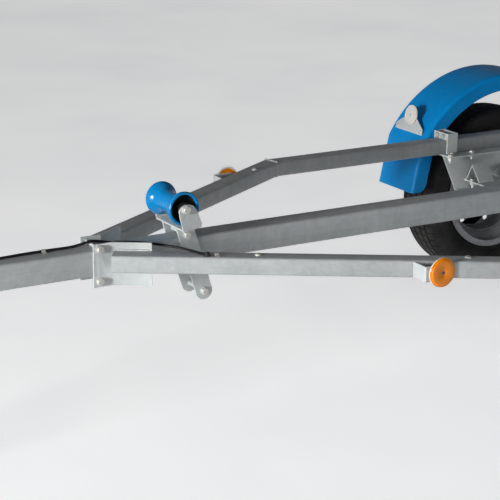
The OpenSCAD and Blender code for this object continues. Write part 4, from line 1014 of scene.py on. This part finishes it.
class TRAILER_OT_lights(Operator):
    """Light board with brackets, lamps, blank number plate and the side and front reflectors"""

    bl_idname = "trailer.lights"
    bl_label = "Lights"

    def execute(self, context):
        self.board()
        self.lamps()
        self.side_reflectors()
        self.front_reflectors()
        return {"FINISHED"}

    def board(self):
        """Board with a backing plate and two beads, its brackets, and a blank number plate with a border."""
        back = board_lo[0]
        x, y0, y1, z0, z1 = back + 0.002, board_lo[1], board_hi[1], board_lo[2], BOARD_TOP * MM
        shapes = [
            plate(rounded(box_outline(y0, z0, y1, z1), 0.012), (x + 0.003, 0, 0), Y, Z, 0.012, 0.002),
            plate(rounded(box_outline(-0.265, z0 + 0.003, 0.265, z1 - 0.003), 0.006), (back, 0, 0), Y, Z,
                  0.006)]
        for z in (z0 + 0.010, z1 - 0.010):
            line = [(x + 0.0045, y0 + 0.014, z), (x + 0.0045, y1 - 0.014, z)]
            shapes.append(carried(line, circle(0.0045, 12), Z))
        piece("light_board_panel", shapes, "board", replaces=("light_board",))
        end = BRACKET_END * MM
        shapes = [
            plate(rounded(box_outline(0.641, 0.401, 0.691, 0.5745), 0.005), (end - 0.005, 0, 0), Y, Z, 0.005),
            plate(rounded(box_outline(end - 0.004, 0.641, end + 0.060, 0.691), 0.005), (0, 0, 0.5205), X, Y,
                  0.0045)]
        piece("light_board_brackets", mirrored(shapes), "plate")
        outline = rounded(box_outline(-0.260, -0.055, 0.260, 0.055), 0.010)
        z = (z0 + z1) / 2
        piece("number_plate_blank", [plate(outline, (back, 0, z), -Y, Z, 0.0022, 0.0007)], "number")
        rim = np.vstack([outline, outline[:1]])
        line = np.column_stack([np.full(len(rim), back - 0.0018), rim[:, 0], rim[:, 1] + z])
        piece("number_plate_border", [carried(line, circle(0.0012, 8), X)], "rubber")

    def lamps(self):
        """Lamp: a base tray and three lenses. A lens bulges as (1 - u^8)(1 - v^8) to the power 0.3, with fine
        upright flutes."""
        x_front, x_back, z0, z1 = lamps_lo[0], lamps_hi[0], lamps_lo[2], lamps_hi[2]
        tray = rounded(box_outline(0.490, z0, 0.700, z1), 0.010)
        piece("lamp_trays", mirrored([plate(tray, (x_back - 0.016, 0, 0), Y, Z, 0.0165, 0.003)]), "rubber",
              replaces=("tail_lamps",))
        for look, a, b in (("red", 0.494, 0.562), ("clear", 0.563, 0.606), ("amber", 0.607, 0.696)):
            u, v = np.meshgrid(np.linspace(-1, 1, 61), np.linspace(-1, 1, 31), indexing="ij")
            dome = ((1 - u**8) * (1 - v**8)) ** 0.3
            flute = 0.0006 * np.cos(u * math.pi * 10) * (dome > 0.6)
            x = x_back - 0.015 - (x_back - x_front - 0.016) * dome - flute
            front = np.stack([np.maximum(x, x_front + 0.0005), (a + b) / 2 + (b - a) / 2 * u,
                              (z0 + z1) / 2 + ((z1 - z0) / 2 - 0.005) * v], -1)
            n, m = u.shape
            edge = np.concatenate([np.arange(n) * m, (n - 1) * m + np.arange(1, m),
                                   (np.arange(n - 1)[::-1]) * m + m - 1, np.arange(1, m - 1)[::-1]])
            dome = closed(front.reshape(-1, 3), grid_faces(n, m, wrap_cols=False), (edge,))
            piece("lamp_lens_" + look, mirrored([dome]), look, sharp=60)

    def side_reflectors(self):
        """Round reflector with a raised rim on a bracket bent from the front rail's side."""
        x, y, z = AXLE + 1238.0, 600.0, RAIL_LOW + 25.0
        web_x, half = x + 50.0, 22.0
        face = NOSE_RAIL[1] + (NOSE_RAIL[0] - web_x) * SLOPE + RAIL_W / 2 * math.hypot(1, SLOPE)
        outline = rounded(np.array(box_outline(face - 1.5, z - half, y - 0.5, z + half)) * MM,
                          [0.001, 0.004, 0.004, 0.001], 4)
        web = plate(outline, (web_x * MM, 0, 0), Y, Z, 0.004)
        outline = rounded(np.array(box_outline(x - 20, z - half, web_x + 3.5, z + half)) * MM, 0.004, 4)
        flange = plate(outline, (0, y * MM, 0), X, Z, 0.004)
        bend = turned(mm((3.8, -21.5), (4.2, -21), (4.2, 21), (3.8, 21.5)),
                      ((web_x - 0.2) * MM, (y - 4.2) * MM, z * MM), Z, 24)
        piece("side_reflector_brackets", mirrored([web, flange, bend]), "plate",
              replaces=("side_reflectors",))
        centre = (x * MM, y * MM, z * MM)
        rings = mm((40.5, 0.2), (42, 1.2), (42, 4), (41.2, 5.2), (38.5, 5.8), (37.5, 7.8), (36, 8.6),
                   (30, 9), (10, 9), (8, 7.6), (5.5, 7), (2, 7))
        piece("side_reflector_lenses", mirrored([turned(rings, centre, Y, 64)]), "amber")
        base = mm((37.2, -0.8), (42.4, -0.6), (43, 0.6), (42.6, 2.2), (42.2, 2.2), (41.8, 0),
                  (37.2, -0.2))
        piece("side_reflector_rims", mirrored([turned(base, centre, Y, 64, ring=True)]), "number")
        piece("side_reflector_rivets", mirrored(placed(RIVET, [(x, y + 7.0, z)], Y, 0.8)), "cast")

    def front_reflectors(self):
        """Reflector on a trapezoid plate that leans back by 13 degrees about its lower edge."""
        lean, height = math.radians(13), 0.55 * GUARD_R
        up, out = Z * math.cos(lean) - X * math.sin(lean), X * math.cos(lean) + Z * math.sin(lean)
        foot = np.array([GUARD_X + math.sqrt(GUARD_R**2 - height**2), 821.0, GUARD_Z + height])
        trapezoid = np.array([(-84, 0), (84, 0), (80, 22), (34, 54), (24, 86), (-24, 86), (-34, 54),
                              (-80, 22)]) * MM
        outline = rounded(trapezoid, [0.003, 0.003, 0.006, 0.006, 0.016, 0.016, 0.006, 0.006], 5)
        piece("front_reflector_plates", mirrored([plate(outline, foot * MM, Y, up, 0.003, 0.0006)]), "plate",
              replaces=("front_reflectors",))
        centre = foot + 62 * up
        disc = mm((34.5, 0.1), (36, 1), (36, 4.4), (35, 5.6), (31.2, 5.8), (30, 4.6), (28.8, 5.8),
                  (15, 6.4), (9.5, 6.6), (8.2, 5.2), (6, 5), (2, 5))
        piece("front_reflector_discs", mirrored([turned(disc, (centre + 3 * out) * MM, out, 56)]),
              "white_reflector")
        rivets = placed(RIVET, [centre + 8 * out], out, 0.8)
        rivets += placed(RIVET, [foot + 11 * up + 3 * out + dy * Y for dy in (-70, 70)], out, 1.2)
        piece("front_reflector_rivets", mirrored(rivets), "bolt")


class TRAILER_OT_cable(Operator):
    """Wiring cable along the drawbar, with its grommets and clips"""

    bl_idname = "trailer.cable"
    bl_label = "Wiring cable"

    def execute(self, context):
        route = np.array([
            (2440, -4, 581.5), (2370, -6, 581.5), (2292, -10, 581.5), (2215, -16, 581.5), (2138, -18, 581.5),
            (2080, -17, 581.5), (2046, -12, 587), (2016, -6, 593.6), (1986, -4, 589), (1954, -4, 582),
            (1918, 9, 581.5), (1892, 27, 581.5), (1868, 48, 581.5), (1846, 76, 581.2), (1826, 106, 581),
            (1807, 136, 580.5), (1792, 170, 579.7), (1782, 200, 579.5), (1772, 228, 579.5)]) + [AXLE, 0, 0]
        path = smooth_path(route * MM, 6)
        piece("cable_sheath", [carried(path, circle(0.004, 12), Z)], "cable", replaces=("wiring_cable",))
        boot = mm((8.5, 0), (9, 0.6), (9, 3), (7.8, 4.5), (7.8, 6), (7, 10.5), (4.8, 13))
        shapes = [turned(boot, (end[0] * MM, end[1] * MM, base * MM), Z, 24)
                  for end, base in ((route[0], BEAM_TOP), (route[-1], RAIL_TOP))]
        piece("cable_boots", shapes, "rubber", replaces=("cable_grommets",))
        saddles = []
        arc = np.linspace(0, math.pi, 13)
        for x, y, base in ((AXLE + 2330, -8.0, BEAM_TOP), (AXLE + 2160, -17.8, BEAM_TOP),
                           (AXLE + 1748, 236.0, RAIL_TOP)):
            ys = np.concatenate([[-0.015], -0.0052 * np.cos(arc), [0.015]])
            zs = np.concatenate([[0.0006], np.maximum(0.0052 * np.sin(arc) + 0.0042, 0.0006), [0.0006]])
            line = np.stack([np.full(len(ys), x * MM), y * MM + ys, base * MM + zs], -1)
            saddles.append(carried(line, box_outline(-0.0055, -0.0005, 0.0055, 0.0005), (0, 0.001, 1)))
        piece("cable_saddles", saddles, "bolt")
        return {"FINISHED"}


class TRAILER_OT_fixings(Operator):
    """Bolts, nuts, studs and rivets of the whole chassis"""

    bl_idname = "trailer.fixings"
    bl_label = "Fixings"

    def execute(self, context):
        through = [(AXLE + 2015.3, BEAM_TOP + 6.5), (AXLE + 2015.3, BEAM_LOW - 13),
                   (ROLLERS[0] - 24, ROLLER_Z - 86), (ROLLERS[0] - 80, ROLLER_Z - 263)]
        through += [(POST + dx, z) for z in (BEAM_LOW - 8, BEAM_LOW + 40) for dx in (-52, 52)]
        through += [(HANGER + dx, BEAM_TOP - 34) for dx in (-66, 66)]
        shapes = bolted(through, BEAM_HALF + 6.0, 1.15)
        shapes += bolted([(x, ROLLER_Z) for x in ROLLERS], 84.0, 1.35) + bolted([BOW], 64.0, 1.3)
        studs = [(x + dx, y) for x in ROLLERS[1:] for dx in (-20, 20) for y in (-48.0, 48.0)]
        shapes += placed(NUT, [(x, y, BEAM_TOP + 5.0) for x, y in studs], Z, 0.95)
        shapes += placed(NUT, [(x, y, BEAM_LOW - 5.0) for x, y in studs], -Z, 0.95)
        base = [(POST - 70, 34.0), (POST - 70, -34.0), (POST + 52, 34.0), (POST + 52, -34.0)]
        shapes += placed(HEAD, [(x, y, POST_TOP + 6.0) for x, y in base], Z, 0.85)
        for axis in (Y, -Y):
            shapes += placed(HEAD, seats([HANDLE], 23.5 * axis[1]), axis, 0.8)
        shapes += bolted([(2600.0, 524.0), (2600.0, 556.0)], 45.0, 1.1)
        shapes += placed(HEAD, seats([(JOCKEY[0] - 38, 520.0), (JOCKEY[0] - 38, 559.0)], 54.0), Y)
        piece("beam_fixings", shapes, "bolt", sharp=35)
        piece("side_fixings", mirrored(self.side_fixings()), "bolt", sharp=35)
        axle = np.array([JOCKEY[0] - JOCKEY_TRAIL, JOCKEY[1], JOCKEY_R])
        shapes = placed(HEAD, [axle + 34 * Y], Y) + placed(NUT, [axle - 34 * Y], -Y)
        piece("jockey_axle_fixings", shapes, "bolt", "jockey_fork", sharp=35)
        return {"FINISHED"}

    def side_fixings(self):
        """The left side's fixings: rail tops, hangers, mudguard clips and side supports."""
        on_top = [(AXLE + 1139, 587.0), (AXLE + 290, RAIL_Y), (AXLE - 170, RAIL_Y), (AXLE + 1640, 284.0)]
        shapes = placed(DOME, [(x, y, RAIL_TOP) for x, y in on_top], Z)
        under = [(HANGER + dx, RAIL_Y) for dx in (-235, 235, -120, 120)]
        shapes += placed(NUT, [(x, y, RAIL_LOW - 6.0) for x, y in under], -Z)
        inboard = [(HANGER + dx, y)
                   for dx, y in ((262, 600.0), (240, 618.0), (158, 612.0), (-158, 612.0), (-240, 612.0))]
        shapes += placed(HEAD, [(x, y, RAIL_LOW) for x, y in inboard], Z)
        shapes += placed(NUT, [(x, y, RAIL_LOW - 6.0) for x, y in inboard], -Z)
        stud = np.array([HANGER + 160, 598.0, RAIL_LOW - 101.0])
        shapes += placed(HEAD, [stud], Z, 0.9) + placed(NUT, [stud - 6 * Z], -Z, 0.9)
        shapes.append(turned(mm((4, -40), (4.6, -39), (4.6, 0)), (stud - 3 * Z) * MM, Z, 20))
        for x, axis in ((AXLE + 315.0, X), (AXLE - 355.0, -X)):
            shapes += placed(HEAD, [(x, y, RAIL_TOP + 11.5) for y in (654.0, 688.0)], axis, 0.95)
            mid = x - 22.5 * axis[0]
            shapes += placed(HEAD, [(mid, 706.0, RAIL_LOW - 10.0)], -Y)
            shapes += placed(NUT, [(mid, 712.0, RAIL_LOW - 10.0)], Y, 0.8)
        tilt = np.array([0, math.cos(SUPPORT_TILT), math.sin(SUPPORT_TILT)])
        for x in SUPPORTS.values():
            foot = [(x + dx, RAIL_Y + dy, RAIL_TOP + 6.0) for dx in (-45, 45) for dy in (-20, 20)]
            shapes += placed(NUT, foot, Z, 0.8)
            centre = np.array([x, RAIL_Y, SUPPORT_Z])
            for axis, rows in ((tilt, HEAD), (-tilt, NUT)):
                shapes += placed(rows, [centre + axis * 44.0], axis, 1.3)
        return shapes


# The camera's place in metres and its yaw, pitch and roll in degrees, fitted to the trailer's straight edges
CAMERA_PLACE = (3.17469, 4.41353, 1.99582)
CAMERA_TURN = (-120.45, -16.32, 0.52)
FLOOR_HALF = 60.0
FLOOR_GLOW = 0.66


class TRAILER_OT_stage(Operator):
    """Pale floor, soft studio light and the camera"""

    bl_idname = "trailer.stage"
    bl_label = "Stage"

    def execute(self, context):
        scene = context.scene
        mesh = bpy.data.meshes.new("floor")
        s = FLOOR_HALF
        mesh.from_pydata([(x, y, 0) for x, y in box_outline(-s, -s, s, s)], [], [(0, 1, 2, 3)])
        floor = bpy.data.objects.new("floor", mesh)
        scene.collection.objects.link(floor)
        floor.data.materials.append(self.floor_material())
        self.world(scene)
        for name, power, size, spread, place, target in (
            ("key_light", 106.0, 2.0, 60, (9.0, 2.0, 1.7), (0.8, 0.0, 0.5)),
            ("side_fill", 42.0, 2.4, 180, (1.6, 5.4, 1.3), (0.3, 0.0, 0.5)),
            ("overhead", 10.0, 5.0, 180, (0.0, 0.5, 5.0), (0.0, 0.0, 0.4)),
        ):
            light = bpy.data.lights.new(name, "AREA")
            light.energy, light.size, light.spread = power, size, math.radians(spread)
            axis, side, up = across(np.array(place) - np.array(target))
            self.stand(scene, name, light, place, side, up, axis)
        camera = bpy.data.cameras.new("camera")
        camera.sensor_width = 36.0
        camera.lens = scene.trailer_sizes.lens
        yaw, pitch, roll = (math.radians(a) for a in CAMERA_TURN)
        ahead = np.array([math.cos(pitch) * math.cos(yaw), math.cos(pitch) * math.sin(yaw), math.sin(pitch)])
        right = unit(np.cross(ahead, Z))
        up = np.cross(right, ahead)
        side = math.cos(roll) * right + math.sin(roll) * up
        over = math.cos(roll) * up - math.sin(roll) * right
        scene.camera = self.stand(scene, "camera", camera, CAMERA_PLACE, side, over, -ahead)
        camera.clip_start, camera.clip_end = 0.05, 200.0
        scene.view_settings.view_transform = "Standard"
        return {"FINISHED"}

    @staticmethod
    def stand(scene, name, data, place, side, up, back):
        """A lamp or camera at its place, turned so that its own axes are side, up and back."""
        obj = bpy.data.objects.new(name, data)
        scene.collection.objects.link(obj)
        turn = Matrix(np.stack([side, up, back]).T.tolist()).to_4x4()
        obj.matrix_world = Matrix.Translation(place) @ turn
        return obj

    def floor_material(self):
        """Pale floor with faint clouds, which glows where the camera, a glossy or a clear surface sees it."""
        material, n, bsdf, at = start_material("studio_floor", Roughness=0.8, Specular_IOR_Level=0.1)
        cloud = n.remap(n.noise(at, 0.8, 4.0), 0.3, 0.7)
        colour = n.mix(cloud, linear((226, 227, 228)), linear((236, 236, 236)))
        n.put(colour, bsdf.inputs["Base Color"])
        n.put(colour, bsdf.inputs["Emission Color"])
        path = n.add("ShaderNodeLightPath").outputs
        seen = n.math("MAXIMUM", n.math("MAXIMUM", path["Is Camera Ray"], path["Is Glossy Ray"]),
                      path["Is Transmission Ray"])
        n.put(n.math("MULTIPLY", seen, FLOOR_GLOW), bsdf.inputs["Emission Strength"])
        bump(n, bsdf, n.noise(at, 90.0, 2.0), 0.05, 0.001)
        return material

    def world(self, scene):
        """Soft grey light: strongest level with the horizon and ahead of the trailer, weak overhead."""
        world = bpy.data.worlds.new("studio")
        scene.world = world
        world.use_nodes = True
        n = Nodes(world.node_tree)
        background = world.node_tree.nodes["Background"]
        background.inputs["Color"].default_value = linear((246, 248, 250))
        at = n.add("ShaderNodeTexCoord").outputs["Generated"]
        part = n.add("ShaderNodeSeparateXYZ", {0: at}).outputs
        ahead = n.remap(part["X"], -1.0, 1.0, 0.2, 0.4)
        level = n.math("MULTIPLY", ahead, n.remap(part["Z"], 0.0, 0.7, 1.0, 0.12))
        world.node_tree.links.new(level, background.inputs["Strength"])


def length(label, about, default, low, high):
    return FloatProperty(name=label, description=about, default=default, min=low, max=high, unit="LENGTH")


def colour(label, about, default):
    return FloatVectorProperty(name=label, description=about + ", 0 to 255", default=default, size=3, min=0,
                               max=255)


class TrailerSizes(PropertyGroup):
    tube_corner: length("Tube corner", "Outer corner radius of the keel beam", 0.008, 0.002, 0.015)
    plate_edge: length("Plate edge", "Rounding of a pressed plate's edges", 0.0009, 0.0002, 0.002)
    guard_corner: length("Mudguard corner", "Corner radius between crown and lip", 0.013, 0.006, 0.025)
    tread_blocks: IntProperty(name="Tread blocks", description="Sipes round the tyre", default=64, min=40,
                              max=80)
    lens: FloatProperty(name="Lens", description="Focal length of the camera", default=129.16, min=20,
                        max=300)


class TrailerColours(PropertyGroup):
    zinc_light: colour("Tube zinc, light", "Light zinc on the tubes", (192, 195, 195))
    zinc_dark: colour("Tube zinc, dark", "Dark zinc on the tubes", (158, 163, 164))
    plate_light: colour("Plate zinc, light", "Light zinc on the plates", (208, 212, 211))
    plate_dark: colour("Plate zinc, dark", "Dark zinc on the plates", (182, 188, 188))
    blue_light: colour("Mudguard blue", "Mudguard colour", (0, 144, 216))
    blue_shade: colour("Mudguard deep blue", "Darker drift of the blue", (0, 130, 202))


OPERATORS = (
    TRAILER_OT_stage, TRAILER_OT_frame_tubes, TRAILER_OT_pressed_plates, TRAILER_OT_tyres, TRAILER_OT_wheels,
    TRAILER_OT_mudguards, TRAILER_OT_rollers, TRAILER_OT_winch, TRAILER_OT_jockey, TRAILER_OT_lights,
    TRAILER_OT_cable, TRAILER_OT_fixings,
)


class TRAILER_PT_panel(Panel):
    """Sizes, colours and pieces of the trailer"""

    bl_label = "Boat trailer"
    bl_space_type = "VIEW_3D"
    bl_region_type = "UI"
    bl_category = "Trailer"

    def draw(self, context):
        layout = self.layout
        for owner in (context.scene.trailer_sizes, context.scene.trailer_colours):
            for name in owner.__annotations__:
                layout.prop(owner, name)
        for operator in OPERATORS:
            layout.operator(operator.bl_idname)


CLASSES = (TrailerSizes, TrailerColours) + OPERATORS + (TRAILER_PT_panel,)


def register():
    for cls in CLASSES:
        bpy.utils.register_class(cls)
    bpy.types.Scene.trailer_sizes = PointerProperty(type=TrailerSizes)
    bpy.types.Scene.trailer_colours = PointerProperty(type=TrailerColours)


def unregister():
    del bpy.types.Scene.trailer_colours
    del bpy.types.Scene.trailer_sizes
    for cls in reversed(CLASSES):
        bpy.utils.unregister_class(cls)


def main():
    register()
    for operator in OPERATORS:
        category, name = operator.bl_idname.split(".")
        getattr(getattr(bpy.ops, category), name)()


if __name__ == "__main__":
    main()
